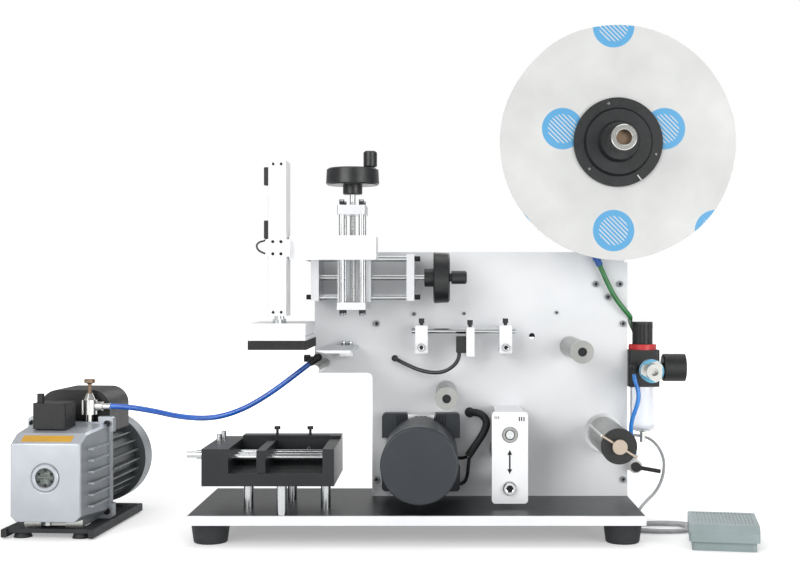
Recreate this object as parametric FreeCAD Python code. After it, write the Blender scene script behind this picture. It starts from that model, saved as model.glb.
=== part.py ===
"""Semi-automatic bottle labelling machine with its vacuum pump and foot pedal.

Millimetres. +Z is up, -Y is the operator's side, +X runs along the base plate to the label reel.
The origin lies on the table under the middle of the whole set.
"""
import FreeCAD, Part
import math
import os

V = FreeCAD.Vector
EAST, NORTH, UP = V(1, 0, 0), V(0, 1, 0), V(0, 0, 1)
WEST, SOUTH, DOWN = V(-1, 0, 0), V(0, -1, 0), V(0, 0, -1)

# ---- fits ----------------------------------------------------------------------------------
running = 0.08          # radial gap of a shaft that turns or slides in its hole
face_gap = 0.3          # gap between two faces that move past each other
slip = 0.1              # gap round a piece that is fixed in a pocket

# ---- base plate and feet -------------------------------------------------------------------
base_left, base_front = -261.0, -147.0
base_width, base_depth, base_thick = 620.0, 238.0, 13.0
base_chamfer = 1.2
foot_height, foot_top_d, foot_bottom_d = 29.0, 54.0, 46.0
foot_inset_x, foot_inset_y = 27.0, 37.0
foot_round = 3.0
base_right = base_left + base_width
base_back = base_front + base_depth
base_top = foot_height + base_thick

# ---- upright panel -------------------------------------------------------------------------
panel_setback, panel_thick = 166.0, 10.0
panel_left, panel_top = -104.0, 402.0
panel_edge_margin = 1.0
throat_right, throat_top, throat_radius = -19.0, 223.5, 8.0
panel_screw_d, panel_screw_rise, panel_screw_inset = 9.0, 1.6, 6.5
panel_screw_heights = (66.5, 296.5)
arm_screw_spread, arm_screw_heights = 17.7, (354.9, 335.7)
small_screws = ((253.2, 312.8, 5.0), (116.6, 311.3, 5.0), (42.7, 310.6, 6.0))
plain_hole = (217.0, 278.1, 9.0)
corner_step = 15.0
panel_front = base_front + panel_setback
panel_back = panel_front + panel_thick
panel_right = base_right - panel_edge_margin

# ---- rear cover ----------------------------------------------------------------------------
cover_wall, cover_left, cover_top = 2.0, -12.0, 318.0
cover_margin, cover_round = 6.0, 6.0
cover_lip = 1.0
louvre_count, louvre_pitch, louvre_height, louvre_length = 6, 14.0, 4.0, 80.0
louvre_bottom = 200.0
louvre_centres = (60.0, 240.0)

# ---- label reel ----------------------------------------------------------------------------
reel_inset, reel_z = 29.0, 552.0
reel_disc_d, reel_disc_thick, reel_disc_front = 332.0, 4.0, -87.0
reel_shaft_d, reel_spigot_d = 12.0, 20.0
core_d, core_flange_d, core_flange_thick, core_back = 74.0, 112.0, 3.0, -20.0
shoulder_d = 24.0
hub_flange_d, hub_flange_thick = 124.0, 4.0
hub_step_d, hub_step_thick = 96.0, 6.0
hub_boss_d, hub_boss_thick = 58.0, 12.0
nose_d, nose_bore_d, nose_bore_depth, nose_tip = 35.0, 24.0, 12.0, -147.0
arm_width, arm_thick, arm_bottom = 52.0, 12.0, 325.0
arm_boss_d, arm_boss_length = 46.0, 25.0
hub_draft = 3.0
reel_collar_thick = 5.0
reel_x = panel_right - reel_inset

# ---- horizontal slide ----------------------------------------------------------------------
x_plate_thick, x_plate_bottom, x_plate_top, x_plate_depth = 11.0, 331.0, 397.0, 76.0
x_left_plate, x_right_plate = -101.7, 33.7
x_rod_d, x_rod_high, x_rod_low = 8.0, 391.0, 336.0
x_rod_spread = 15.0
x_screw_d, x_axis_z, x_axis_y = 8.0, 364.0, -27.0
carriage_width, carriage_back, carriage_bottom = 47.0, 8.0, 329.0
wheel_d, wheel_thick, wheel_small_d = 74.0, 23.5, 70.0
wheel_hub_d, wheel_hub_length = 27.0, 13.0
wheel_dish, wheel_dish_d, wheel_dish_inner_d = 5.0, 56.0, 24.0
grip_d, grip_length, grip_offset, grip_neck_d, grip_neck = 19.0, 24.0, 24.5, 12.0, 2.0
x_wheel_hub_left = 58.7

# ---- vertical slide ------------------------------------------------------------------------
z_axis_x, z_axis_y = -40.5, -87.0
z_plate_width, z_plate_depth = 39.0, 60.0
z_bottom_plate_thick, z_top_plate_bottom, z_top_plate_thick = 10.0, 450.0, 13.0
z_rod_d, z_rod_spread_x, z_rod_spread_y = 8.0, 13.5, 21.0
z_screw_d, z_wheel_hub_bottom = 8.0, 479.0
cap_screw_d, cap_screw_height = 7.0, 6.0

# ---- cross beam, cylinder and suction head -------------------------------------------------
beam_left, beam_right, beam_bottom, beam_top = -126.0, -6.6, 388.0, 421.0
beam_depth = 56.0
cylinder_width, cylinder_depth, cylinder_bottom, cylinder_top = 25.0, 48.0, 311.0, 523.0
cylinder_gap, cylinder_setoff = 2.0, 40.0
cylinder_groove, cylinder_groove_depth = 3.0, 1.5
cylinder_round = 2.5
clamp_wall, clamp_bottom, clamp_top = 3.0, 392.0, 415.0
piston_rod_d, piston_rod_spread, piston_rod_length, piston_nut_d = 10.0, 14.0, 150.0, 15.0
piston_nut_height = 5.0
switch_width, switch_depth, switch_height = 7.0, 7.0, 25.0
switch_bottoms = (416.5, 489.5)
head_width, head_depth, head_top, head_front = 77.5, 134.0, 301.0, -147.0
head_right = -99.6
head_block_height, head_groove_height, head_strip_height, head_groove_depth = 16.0, 1.2, 5.8, 1.5
pad_height, pad_overhang, pad_round = 12.5, 0.8, 1.5
vacuum_hole_d, vacuum_hole_depth, vacuum_rows, vacuum_columns = 3.0, 6.0, 4, 7
vacuum_pitch = 16.0

# ---- peel plate and its roller -------------------------------------------------------------
peel_left, peel_right, peel_bottom, peel_thick, peel_front = -86.0, -39.0, 261.0, 4.0, -147.0
peel_edge, peel_bevel = 1.0, 12.0
peel_block_left, peel_block_right, peel_block_height, peel_block_depth = -66.0, -46.0, 12.0, 18.0
peel_roller_x, peel_roller_z, peel_roller_d, peel_roller_front = -88.0, 238.7, 13.0, -147.0
peel_spindle_d, peel_cap_thick = 6.0, 6.0
edge_knob_z, edge_knob_d, edge_knob_length, edge_neck_d, edge_neck_length = 245.0, 11.0, 9.0, 6.0, 7.0

# ---- label sensor --------------------------------------------------------------------------
rail_block_width, rail_block_bottom, rail_block_top, rail_block_depth = 18.0, 254.5, 294.7, 40.0
rail_block_lefts = (45.3, 167.3)
rail_rod_d, rail_rod_z, rail_rod_y, rail_rod_overhang = 8.0, 286.6, -9.0, 5.3
holder_left, holder_width, holder_bottom, holder_top = 119.0, 11.6, 249.6, 292.4
holder_front, holder_back = -33.0, 3.0
eye_width, eye_bottom, eye_top, eye_front, eye_back = 14.5, 255.5, 279.0, -30.0, -4.0
knurl_d, knurl_height, knurl_neck_d, knurl_neck = 8.0, 7.0, 5.0, 3.0
rail_screw_d, rail_screw_height, rail_screw_z = 11.0, 3.0, 263.0

# ---- drive motor ---------------------------------------------------------------------------
motor_x, motor_z = 53.3, 109.0
gear_case_side, gear_case_depth, gear_case_notch, gear_case_notch_depth = 114.0, 22.0, 42.0, 8.0
gear_case_round = 6.0
motor_d, motor_front, motor_cap_thick, motor_band = 106.0, -147.0, 12.0, 2.0
motor_cap_round = 3.0
motor_shaft_d, motor_pulley_d = 12.0, 30.0
pulley_width, pulley_flange, pulley_flange_rise = 12.0, 1.5, 2.5
belt_thick, belt_width = 2.0, 9.0
belt_one_share, belt_two_share = 0.25, 0.6
cover_room = base_back - cover_lip - cover_wall - panel_back
belt_one_y = panel_back + belt_one_share * cover_room
belt_two_y = panel_back + belt_two_share * cover_room

# ---- traction unit -------------------------------------------------------------------------
traction_left, traction_width, traction_bottom, traction_height = 153.6, 50.5, 47.8, 128.0
traction_front, traction_plate_thick, traction_round = -83.0, 10.0, 5.0
traction_bridge_thick = 6.0
drive_x, drive_z, drive_roller_d, drive_shaft_d = 179.0, 144.0, 38.0, 10.0
drive_pulley_d, take_up_pulley_d = 40.0, 30.0
bearing_d = 22.0
pinch_d, pinch_shaft_d, pinch_angle = 28.0, 8.0, 250.0
roller_nip = 0.3
pillar_x, pillar_z, pillar_d = 178.4, 69.2, 16.0
roller_end_gap = 2.0

# ---- guide rollers -------------------------------------------------------------------------
guide_d, guide_spindle_d, guide_ring_d, guide_ring_width = 29.0, 12.0, 31.0, 4.0
guide_one_inset, guide_one_z, guide_one_front = 85.5, 263.0, -151.0
guide_two_x, guide_two_z, guide_two_front = 90.2, 197.8, -125.0
spindle_recess = 3.0
spindle_flange_rise, spindle_flange_thick = 2.5, 1.7
guide_one_x = panel_right - guide_one_inset

# ---- rewinder ------------------------------------------------------------------------------
rewind_inset, rewind_z, rewind_d, rewind_front = 35.5, 135.6, 47.0, -141.0
rewind_disc_d, rewind_disc_thick = 48.6, 6.0
rewind_nut_d, rewind_nut_length = 20.0, 8.0
rewind_flange_d, rewind_flange_thick, rewind_shaft_d, rewind_pulley_d = 57.0, 6.0, 12.0, 44.0
clip_d, clip_reach, clip_angle = 4.0, 27.5, 148.0
rewind_x = panel_right - rewind_inset

# ---- bottle fixture ------------------------------------------------------------------------
fixture_left, fixture_right, fixture_front, fixture_depth = -240.0, -61.5, -147.0, 154.0
fixture_bottom, fixture_plate_thick = 82.0, 17.0
screw_block_width, screw_block_top = 36.0, 132.0
back_wall_thick, back_wall_top, right_wall_thick = 32.0, 136.0, 15.5
back_lip_depth, back_lip_height = 6.0, 4.0
jaw_left, jaw_thick, jaw_top, jaw_clearance = -166.0, 12.0, 130.0, 0.5
fixture_rod_d, fixture_rod_z, fixture_rod_spread = 8.0, 115.0, 26.0
fixture_screw_d, fixture_knob_d, fixture_knob_length, fixture_knob_y = 8.0, 13.0, 34.0, -72.0
fixture_knob_step_d, fixture_knob_step = 9.0, 14.0
screw_seat = 8.0
post_d, post_centre_x, post_centre_y, post_reach_x, post_reach_y = 14.0, -133.0, -75.0, 54.0, 62.0
thumb_head_d, thumb_head_height, thumb_neck_d, thumb_neck = 9.0, 4.5, 4.0, 7.0
thumb_places = (-156.0, -108.0)
thumb_y = -4.0
block_screw_ys = (-55.0, -16.0)
wall_screw_z, wall_screw_sink = 117.0, 4.0

# ---- filter regulator ----------------------------------------------------------------------
regulator_width, regulator_depth, regulator_bottom, regulator_top = 45.5, 40.0, 204.0, 258.0
regulator_front, regulator_round = 3.0, 5.0
ring_d, ring_height, knob_d, knob_top_z, knob_flutes = 41.0, 8.0, 30.0, 299.0, 16
knob_flute_d = 2.4
bowl_d, bowl_bottom, drain_d, drain_length = 37.0, 137.0, 8.0, 16.0
bowl_round, bowl_wall = 11.0, 2.5
gauge_d, gauge_length, gauge_neck_d, gauge_neck_length, gauge_z = 41.0, 33.0, 14.0, 6.5, 231.5
coupler_z, coupler_stem_d, coupler_collar_d = 231.5, 18.0, 33.0
coupler_collar_back, coupler_collar_thick, coupler_nose_d, coupler_nose_length = -50.0, 16.0, 22.0, 18.0
coupler_bore_d, coupler_bore_depth = 11.0, 14.0

# ---- air fittings and shut-off valve -------------------------------------------------------
fitting_d, hose_seat, elbow_bulge = 11.0, 14.0, 0.6
panel_elbow_x, panel_elbow_z, hose_plane_y = -98.5, 247.0, 4.0
vacuum_slope = (-0.79, -0.613)
green_elbow_inset, green_elbow_z, green_plane_y = 47.0, 393.0, 8.0
green_slope = (0.40, -0.9165)
green_seat = 12.0
blue_elbow_reach, blue_elbow_z, blue_plane_y, small_fitting_d = 6.0, 233.0, -7.0, 10.0
blue_seat = 9.0
rear_elbow_reach, rear_elbow_seat = 14.0, 10.0
valve_d, valve_reach, valve_z, valve_front, valve_length = 20.0, 10.0, 87.0, 5.0, 22.0
valve_port_height, valve_tab = 7.0, 14.0
lever_hub_d, lever_hub_length, lever_d, lever_reach, lever_tilt = 14.0, 7.0, 6.0, 36.0, -10.0
lever_pin_d, lever_pin_depth = 6.0, 8.0
green_elbow_x = panel_right - green_elbow_inset
blue_elbow_x = panel_right + blue_elbow_reach
valve_x = panel_right + valve_reach

# ---- vacuum pump (its own frame: x across, y from its nose to its fan) ---------------------
pump_x, pump_y, pump_yaw = -464.0, -102.0, -4.0
nose_half, nose_bottom, nose_top = 49.3, 25.5, 134.6
brow_y, brow_half, brow_top = 22.0, 50.5, 146.0
casing_length, casing_half, casing_bottom, casing_top = 96.0, 57.0, 20.0, 152.0
casing_corner, casing_top_corner = 8.0, 3.0
flange_thick, flange_half, flange_bottom, flange_top, flange_ear = 12.0, 63.5, 14.0, 162.0, 22.0
flange_lug_d, flange_dip = 11.0, 8.0
rib_count, rib_thick, rib_start, rib_half = 6, 3.0, 26.0, 59.0
rib_low, rib_pitch = 42.0, 16.0
sight_z, sight_bezel_d, sight_glass_d, sight_depth, sight_bezel_rise = 86.7, 38.0, 27.0, 3.0, 1.5
drain_plug_d, drain_plug_length = 9.0, 6.0
motor_core_d, fin_count, fin_thick, fin_d, fin_length = 104.0, 26, 2.4, 122.0, 126.0
fan_cover_d, fan_cover_length, fan_cover_round = 138.0, 46.0, 14.0
fan_cover_wall, fan_slot_count, fan_slot_width = 3.0, 12, 6.0
pump_axis_z = 84.0
pump_foot_half, pump_foot_start, pump_foot_length = 25.0, 40.0, 40.0
top_cover_half, top_cover_start, top_cover_length, top_cover_top = 52.0, 115.0, 88.0, 199.0
top_cover_round, top_cover_bottom = 26.0, 138.0
exhaust_left, exhaust_right, exhaust_start, exhaust_end = -34.0, 14.0, 38.0, 82.0
exhaust_top, exhaust_cap_d, exhaust_cap_height, exhaust_cap_inset = 186.0, 10.0, 13.0, 9.0
inlet_x, inlet_y, inlet_neck_d, inlet_block_d = 26.5, 102.0, 11.0, 24.0
inlet_block_bottom, inlet_block_top, inlet_cone_height = 165.0, 186.0, 10.0
inlet_knob_d, inlet_knob_height, inlet_stem_d, inlet_stem_height = 16.0, 7.0, 6.0, 13.0
barb_d, barb_z, barb_reach, barb_nut_d, barb_nut_length = 9.0, 176.5, 31.0, 14.0, 8.0
frame_half, frame_start, frame_end, frame_bottom, frame_thick = 58.0, 12.0, 228.0, 8.0, 6.0
rail_half, rail_width, rail_bottom = 62.0, 8.0, 2.0
frame_side, frame_bar, strap_margin, rail_nose = 14.0, 26.0, 6.0, 6.0
cup_d, cup_reach_x, cup_front, cup_back = 26.0, 42.0, 26.0, 200.0

# ---- foot pedal (its own frame: x across, y from toe to heel) ------------------------------
pedal_reach, pedal_y, pedal_yaw = 99.5, -179.0, -9.7
pedal_width, pedal_length, pedal_height = 92.0, 116.0, 33.0
pedal_wall, pedal_skirt_bottom, pedal_side_gap = 2.5, 12.5, 1.2
pedal_base_height, pedal_round, pedal_slope, pedal_nose = 14.0, 5.0, 9.0, 16.0
pedal_rib_count, pedal_rib_pitch, pedal_rib_width, pedal_rib_depth = 17, 4.8, 2.2, 0.8
pedal_pin_d, pedal_pin_z, pedal_pin_inset = 5.0, 17.0, 8.0
gland_d, gland_length, gland_x, gland_z = 9.0, 9.0, -24.0, 7.0
pedal_x = panel_right + pedal_reach

# ---- hoses and cables ----------------------------------------------------------------------
vacuum_hose_d, green_hose_d, blue_hose_d = 8.0, 7.3, 6.5
pedal_cable_d, sensor_cable_d, motor_cable_d, motor_lead_d = 4.4, 5.6, 11.0, 4.8
arc_share = 0.45
coil_reach, coil_y, coil_length, coil_width, coil_band, coil_height = 40.0, -18.0, 116.0, 84.0, 24.0, 14.0
coil_x = panel_right + coil_reach
outlet_y, outlet_z, outlet_d, outlet_length = 55.0, 128.0, 11.0, 12.0
sensor_hole, motor_hole = (14.5, 245.3), (125.0, 165.4)
grommet_wall, grommet_rim = 2.0, 1.2
landing_shift = 2.0
vacuum_lead, vacuum_approach = 20.0, 28.0

vacuum_route = [(-340, -4, 170.5), (-298, 1, 160), (-252, 2.5, 157.5),
                (-209, 3.5, 170), (-168, 4, 194)]
# The x of these four routes is measured from the panel's right edge.
green_route = [(-36.5, 8, 369), (-28, 8, 350), (-18, 8, 332), (-6, 9, 317), (4.3, 15, 306),
               (4.8, 30, 301), (11.5, 44, 290), (20.5, 54, 273), (22.75, 57, 256)]
blue_route = [(6.6, -7, 214), (12, -7, 201), (12.5, -7, 186), (8, -6, 171), (3, -4, 157), (2, -1, 143.5),
              (3.5, 4, 133), (6.5, 9, 124.5), (9, 13.5, 117.5), (10, 16, 110.5)]
pedal_route = [(19, 55, 128), (39.5, 52, 123), (51, 44, 110.3), (56.4, 33, 94.5), (54.5, 22, 80),
               (49, 10, 66), (37, -6, 51), (21, -21, 41), (10, -31, 31)]
tail_route = [(88, -29, 7), (98, -42.5, 7)]
sensor_route = [(109, -17, 247), (101, -15, 235.5), (86, -11, 226.5), (68, -6, 225.5),
                (49, 0, 229.5), (33, 5, 236.5), (20.5, 7, 242.5)]
motor_route = [(122.4, -2, 103.4), (130, -1, 115), (139, 0, 128), (147.5, 0, 142), (150, 1, 155),
               (142, 3, 164.5), (131, 8, 167), (125, 19, 165.4)]
upper_lead_route = [(120.2, -1, 102.6), (115, 2, 100.2), (109, 3.5, 100), (102.3, 4, 100)]
lower_lead_route = [(124, -3.5, 101.5), (122.5, -1.5, 89), (121.5, 1, 76), (118, 3.5, 65.5), (110.3, 4, 61.5)]


# ---- helpers -------------------------------------------------------------------------------
def block(x0, x1, y0, y1, z0, z1):
    """A box between two corners."""
    return Part.makeBox(x1 - x0, y1 - y0, z1 - z0, V(x0, y0, z0))


def bar(start, direction, length, diameter):
    """A round bar that starts at a point and runs along a direction."""
    return Part.makeCylinder(diameter / 2, length, V(*start), direction)


def fuse(first, *others):
    """One solid out of pieces that touch or overlap."""
    for other in others:
        first = first.fuse(other)
    return first.removeSplitter()


def group(*solids):
    """Separate solids that share one node."""
    flat = [s for shape in solids for s in shape.Solids]
    return Part.makeCompound(flat)


def prism(points, direction, length):
    """A flat outline of (x, y, z) points pushed along a direction."""
    wire = Part.makePolygon([V(*p) for p in points] + [V(*points[0])])
    return Part.Face(wire).extrude(direction * length)


def rounded_slab(x0, x1, y0, y1, z0, z1, radius, axis):
    """A box whose four edges along one axis are rounded."""
    slab = block(x0, x1, y0, y1, z0, z1)
    edges = [e for e in slab.Edges if abs(e.tangentAt(e.FirstParameter).dot(axis)) > 0.99]
    return slab.makeFillet(radius, edges)


def turned(profile, centre, axis):
    """A turned piece: (distance along the axis, radius) steps revolved about the axis."""
    along = V(*centre)
    side = UP if abs(axis.dot(UP)) < 0.5 else EAST
    points = [along + axis * d + side * r for d, r in profile]
    face = Part.Face(Part.makePolygon(points + [points[0]]))
    return face.revolve(along, axis, 360)


def rounded_end(shape, centre, diameter, radius):
    """Rounds the circular edge of a given diameter that is centred at a point."""
    edges = [e for e in shape.Edges
             if isinstance(e.Curve, Part.Circle)
             and abs(e.Curve.Radius - diameter / 2) < 1e-6
             and e.Curve.Center.distanceToPoint(V(*centre)) < 1e-6]
    return shape.makeFillet(radius, edges)


def moved(shape, x, y, yaw):
    """A piece built in its own frame, turned about the vertical and set on the table."""
    copy = shape.copy()
    copy.rotate(V(0, 0, 0), UP, yaw)
    copy.translate(V(x, y, 0))
    return copy


def placed(point, x, y, yaw):
    """A point of such a piece in the whole machine's frame."""
    turn = math.radians(yaw)
    px, py, pz = point
    return (x + px * math.cos(turn) - py * math.sin(turn),
            y + px * math.sin(turn) + py * math.cos(turn), pz)


def cord(name, points, diameter):
    """A tube along straight runs joined by the largest tangent arcs that the runs allow."""
    nodes = [V(*p) for p in points]
    edges, radii = [], []
    here = nodes[0]
    for before, corner, after in zip(nodes, nodes[1:], nodes[2:]):
        back, ahead = before - corner, after - corner
        turn = math.pi - back.getAngle(ahead)
        reach = arc_share * min(back.Length, ahead.Length)
        radii.append(reach / math.tan(turn / 2))
        back.normalize()
        ahead.normalize()
        arc_start, arc_end = corner + back * reach, corner + ahead * reach
        bisector = back + ahead
        bisector.normalize()
        centre_distance = math.hypot(radii[-1], reach)
        arc_middle = corner + bisector * (centre_distance - radii[-1])
        edges.append(Part.LineSegment(here, arc_start).toShape())
        edges.append(Part.Arc(arc_start, arc_middle, arc_end).toShape())
        here = arc_end
    edges.append(Part.LineSegment(here, nodes[-1]).toShape())
    path = Part.Wire(edges)
    section = Part.Wire(Part.makeCircle(diameter / 2, nodes[0], nodes[1] - nodes[0]))
    tube = path.makePipeShell([section], True, False, 0)
    expected = math.pi * diameter ** 2 / 4 * path.Length
    smallest = min(radii) if radii else 0
    print(f"{name}: length {path.Length:.1f}, radii {[round(r, 1) for r in radii]}, "
          f"smallest {smallest / diameter:.1f} diameters, volume ratio {tube.Volume / expected:.4f}")
    return tube


# ---- base and panel ------------------------------------------------------------------------
def make_base_plate():
    plate = block(base_left, base_right, base_front, base_back, foot_height, base_top)
    top_edges = [e for e in plate.Edges if e.BoundBox.ZMin > base_top - base_chamfer]
    return plate.makeChamfer(base_chamfer, top_edges)


def foot_centres():
    xs = (base_left + foot_inset_x, base_right - foot_inset_x)
    ys = (base_front + foot_inset_y, base_back - foot_inset_y)
    return [(x, y) for x in xs for y in ys]


def make_base_feet():
    feet = []
    for x, y in foot_centres():
        foot = Part.makeCone(foot_bottom_d / 2, foot_top_d / 2, foot_height, V(x, y, 0), UP)
        feet.append(rounded_end(foot, (x, y, 0), foot_bottom_d, foot_round))
    return group(*feet)


def make_main_panel():
    outline = [(panel_left, throat_top), (panel_left, panel_top), (panel_right - corner_step, panel_top),
               (panel_right - corner_step, panel_top - corner_step), (panel_right, panel_top - corner_step),
               (panel_right, base_top), (throat_right, base_top), (throat_right, throat_top)]
    panel = prism([(x, panel_front, z) for x, z in outline], NORTH, panel_thick)
    inner = [e for e in panel.Edges
             if e.BoundBox.YLength > panel_thick / 2
             and V(e.BoundBox.XMin, 0, e.BoundBox.ZMin).distanceToPoint(V(throat_right, 0, throat_top)) < 1]
    panel = panel.makeFillet(throat_radius, inner)
    for x, z, d in panel_bores():
        panel = panel.cut(bar((x, panel_front, z), NORTH, panel_thick, d))
    return panel


def panel_bores():
    """Every hole through the panel: centre and diameter."""
    through = 2 * running
    pinch_x, pinch_z = pinch_centre()
    return [(pinch_x, pinch_z, pinch_shaft_d + through), (motor_x, motor_z, motor_shaft_d + 2 * face_gap),
            (drive_x, drive_z, bearing_d + 2 * slip),
            (rewind_x, rewind_z, rewind_shaft_d + through),
            (sensor_hole[0], sensor_hole[1], sensor_cable_d + grommet_wall + 2 * slip),
            (motor_hole[0], motor_hole[1], motor_cable_d + grommet_wall + 2 * slip),
            plain_hole]


def panel_screw_places():
    """Socket screws seen on the panel's face: centre and head diameter."""
    pair_z, single_z = arm_screw_heights
    arm_screws = [(reel_x - arm_screw_spread, pair_z, panel_screw_d),
                  (reel_x + arm_screw_spread, pair_z, panel_screw_d), (reel_x, single_z, panel_screw_d)]
    edge_screws = [(panel_right - panel_screw_inset, z, panel_screw_d) for z in panel_screw_heights]
    corner_screws = [(throat_right + panel_screw_inset, z, panel_screw_d) for z in panel_screw_heights]
    return arm_screws + edge_screws + corner_screws + list(small_screws)


def make_screws_and_glands():
    """Socket screws, thumb screws and rubber glands that stand on the fixed pieces."""
    screws = [bar((x, panel_front, z), SOUTH, panel_screw_rise, d) for x, z, d in panel_screw_places()]
    for left in rail_block_lefts:
        middle = left + rail_block_width / 2
        screws.append(knurled_screw(middle, rail_rod_y, rail_block_top))
        front = panel_front - rail_block_depth
        screws.append(bar((middle, front, rail_screw_z), SOUTH, rail_screw_height, rail_screw_d))
    for x in (peel_block_left + 5, peel_block_right - 5):
        top = peel_bottom + peel_thick
        screws.append(bar((x, panel_front - peel_block_depth / 2, top), UP, 4.0, cap_screw_d))
    for y in block_screw_ys:
        screws.append(bar((fixture_left + 8, y, screw_block_top), UP, 8.0, cap_screw_d))
    face = fixture_front + fixture_depth - back_wall_thick
    screws += [bar((x, face + wall_screw_sink, wall_screw_z), SOUTH, wall_screw_sink / 2, cap_screw_d)
               for x in thumb_places]
    screws.append(bar((pillar_x, traction_front, pillar_z), SOUTH, 2.0, 19.0))
    screws += [grommet(*sensor_hole, sensor_cable_d), grommet(*motor_hole, motor_cable_d)]
    right = panel_right - cover_margin
    outlet = fuse(bar((right - cover_wall, outlet_y, outlet_z), EAST, outlet_length, outlet_d),
                  bar((right, outlet_y, outlet_z), EAST, 4.0, outlet_d + 4))
    return group(*screws, outlet)


def grommet(x, z, cable_d):
    """A rubber grommet that fills its hole in the panel, with a rim on the front face."""
    plug = bar((x, panel_front, z), NORTH, panel_thick, cable_d + grommet_wall)
    rim = bar((x, panel_front, z), SOUTH, grommet_rim, cable_d + 2 * grommet_wall)
    return fuse(plug, rim)


def knurled_screw(x, y, z):
    """A knurled thumb screw standing on a face."""
    neck, head = knurl_neck_d / 2, knurl_d / 2
    top = knurl_neck + knurl_height
    return turned([(0, 0), (0, neck), (knurl_neck, neck), (knurl_neck, head), (top, head), (top, 0)],
                  (x, y, z), UP)


def make_rear_cover():
    right, bottom = panel_right - cover_margin, base_top + cover_lip
    back = base_back - cover_lip
    shell = block(cover_left, right, panel_back, back, bottom, cover_top)
    rounded = [e for e in shell.Edges if e.BoundBox.YMin > back - cover_wall]
    shell = shell.makeFillet(cover_round, rounded)
    shell = shell.cut(block(cover_left + cover_wall, right - cover_wall, panel_back - cover_wall,
                            back - cover_wall, bottom + cover_wall, cover_top - cover_wall))
    for centre in louvre_centres:
        for row in range(louvre_count):
            z = louvre_bottom + row * louvre_pitch
            shell = shell.cut(block(centre - louvre_length / 2, centre + louvre_length / 2,
                                    back - 2 * cover_wall, back + cover_wall, z, z + louvre_height))
    return shell.cut(bar((right - 2 * cover_wall, outlet_y, outlet_z), EAST, 3 * cover_wall,
                         outlet_d + 2 * slip))


# ---- label reel ----------------------------------------------------------------------------
def make_reel_arm():
    half = arm_width / 2
    arm = block(reel_x - half, reel_x + half, panel_back, panel_back + arm_thick, arm_bottom, reel_z)
    head = bar((reel_x, panel_back, reel_z), NORTH, arm_thick, arm_width)
    boss = bar((reel_x, panel_back, reel_z), SOUTH, arm_boss_length, arm_boss_d)
    arm = fuse(arm, head, boss)
    length = arm_boss_length + arm_thick
    return arm.cut(bar((reel_x, panel_back - arm_boss_length, reel_z), NORTH, length,
                       reel_shaft_d + 2 * running))


def make_reel_mandrel():
    boss_front = panel_back - arm_boss_length
    arm_rear = panel_back + arm_thick
    disc_back = reel_disc_front + reel_disc_thick
    hub_front = reel_disc_front - hub_flange_thick - hub_step_thick - hub_boss_thick
    tip = nose_tip
    profile = [(tip + nose_bore_depth, 0), (tip + nose_bore_depth, nose_bore_d / 2), (tip, nose_bore_d / 2),
               (tip, nose_d / 2), (hub_front, nose_d / 2), (hub_front, reel_spigot_d / 2),
               (disc_back, reel_spigot_d / 2), (disc_back, core_d / 2), (core_back, core_d / 2),
               (core_back, core_flange_d / 2), (core_back + core_flange_thick, core_flange_d / 2),
               (core_back + core_flange_thick, shoulder_d / 2), (boss_front - face_gap, shoulder_d / 2),
               (boss_front - face_gap, reel_shaft_d / 2), (arm_rear + face_gap, reel_shaft_d / 2),
               (arm_rear + face_gap, shoulder_d / 2), (arm_rear + face_gap + reel_collar_thick, shoulder_d / 2),
               (arm_rear + face_gap + reel_collar_thick, 0)]
    return turned(profile, (reel_x, 0, reel_z), NORTH)


def make_reel_disc():
    bore = reel_spigot_d + 2 * slip
    disc = bar((reel_x, reel_disc_front, reel_z), NORTH, reel_disc_thick, reel_disc_d)
    return disc.cut(bar((reel_x, reel_disc_front, reel_z), NORTH, reel_disc_thick, bore))


def make_reel_hub():
    front = reel_disc_front
    bore = reel_spigot_d / 2 + slip
    step = front - hub_flange_thick
    boss = step - hub_step_thick
    tip = boss - hub_boss_thick
    profile = [(front, bore), (front, hub_flange_d / 2), (step, hub_flange_d / 2), (step, hub_step_d / 2),
               (boss, hub_step_d / 2 - hub_draft), (boss, hub_boss_d / 2), (tip, hub_boss_d / 2 - hub_draft), (tip, bore)]
    return turned(profile, (reel_x, 0, reel_z), NORTH)


# ---- slides --------------------------------------------------------------------------------
def x_rod_places():
    return [(x_axis_y + side * x_rod_spread, z) for side in (-1, 1) for z in (x_rod_low, x_rod_high)]


def make_x_rail():
    """End plates bolted to the panel, with the four guide rods between them."""
    front = panel_front - x_plate_depth
    plates = []
    for left in (x_left_plate, x_right_plate):
        plate = block(left, left + x_plate_thick, front, panel_front, x_plate_bottom, x_plate_top)
        plate = plate.cut(bar((left, x_axis_y, x_axis_z), EAST, x_plate_thick, x_screw_d + 2 * running))
        plates.append(plate)
    start = x_left_plate + x_plate_thick
    rods = [bar((start, y, z), EAST, x_right_plate - start, x_rod_d) for y, z in x_rod_places()]
    bolts = [bar((left, y, z), way, cap_screw_height, cap_screw_d)
             for left, way in ((x_left_plate, WEST), (x_right_plate + x_plate_thick, EAST))
             for y, z in x_rod_places()]
    return group(*plates, *rods, *bolts)


def z_rod_places():
    return [(z_axis_x + i * z_rod_spread_x, z_axis_y + j * z_rod_spread_y)
            for i in (-1, 1) for j in (-1, 1)]


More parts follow.
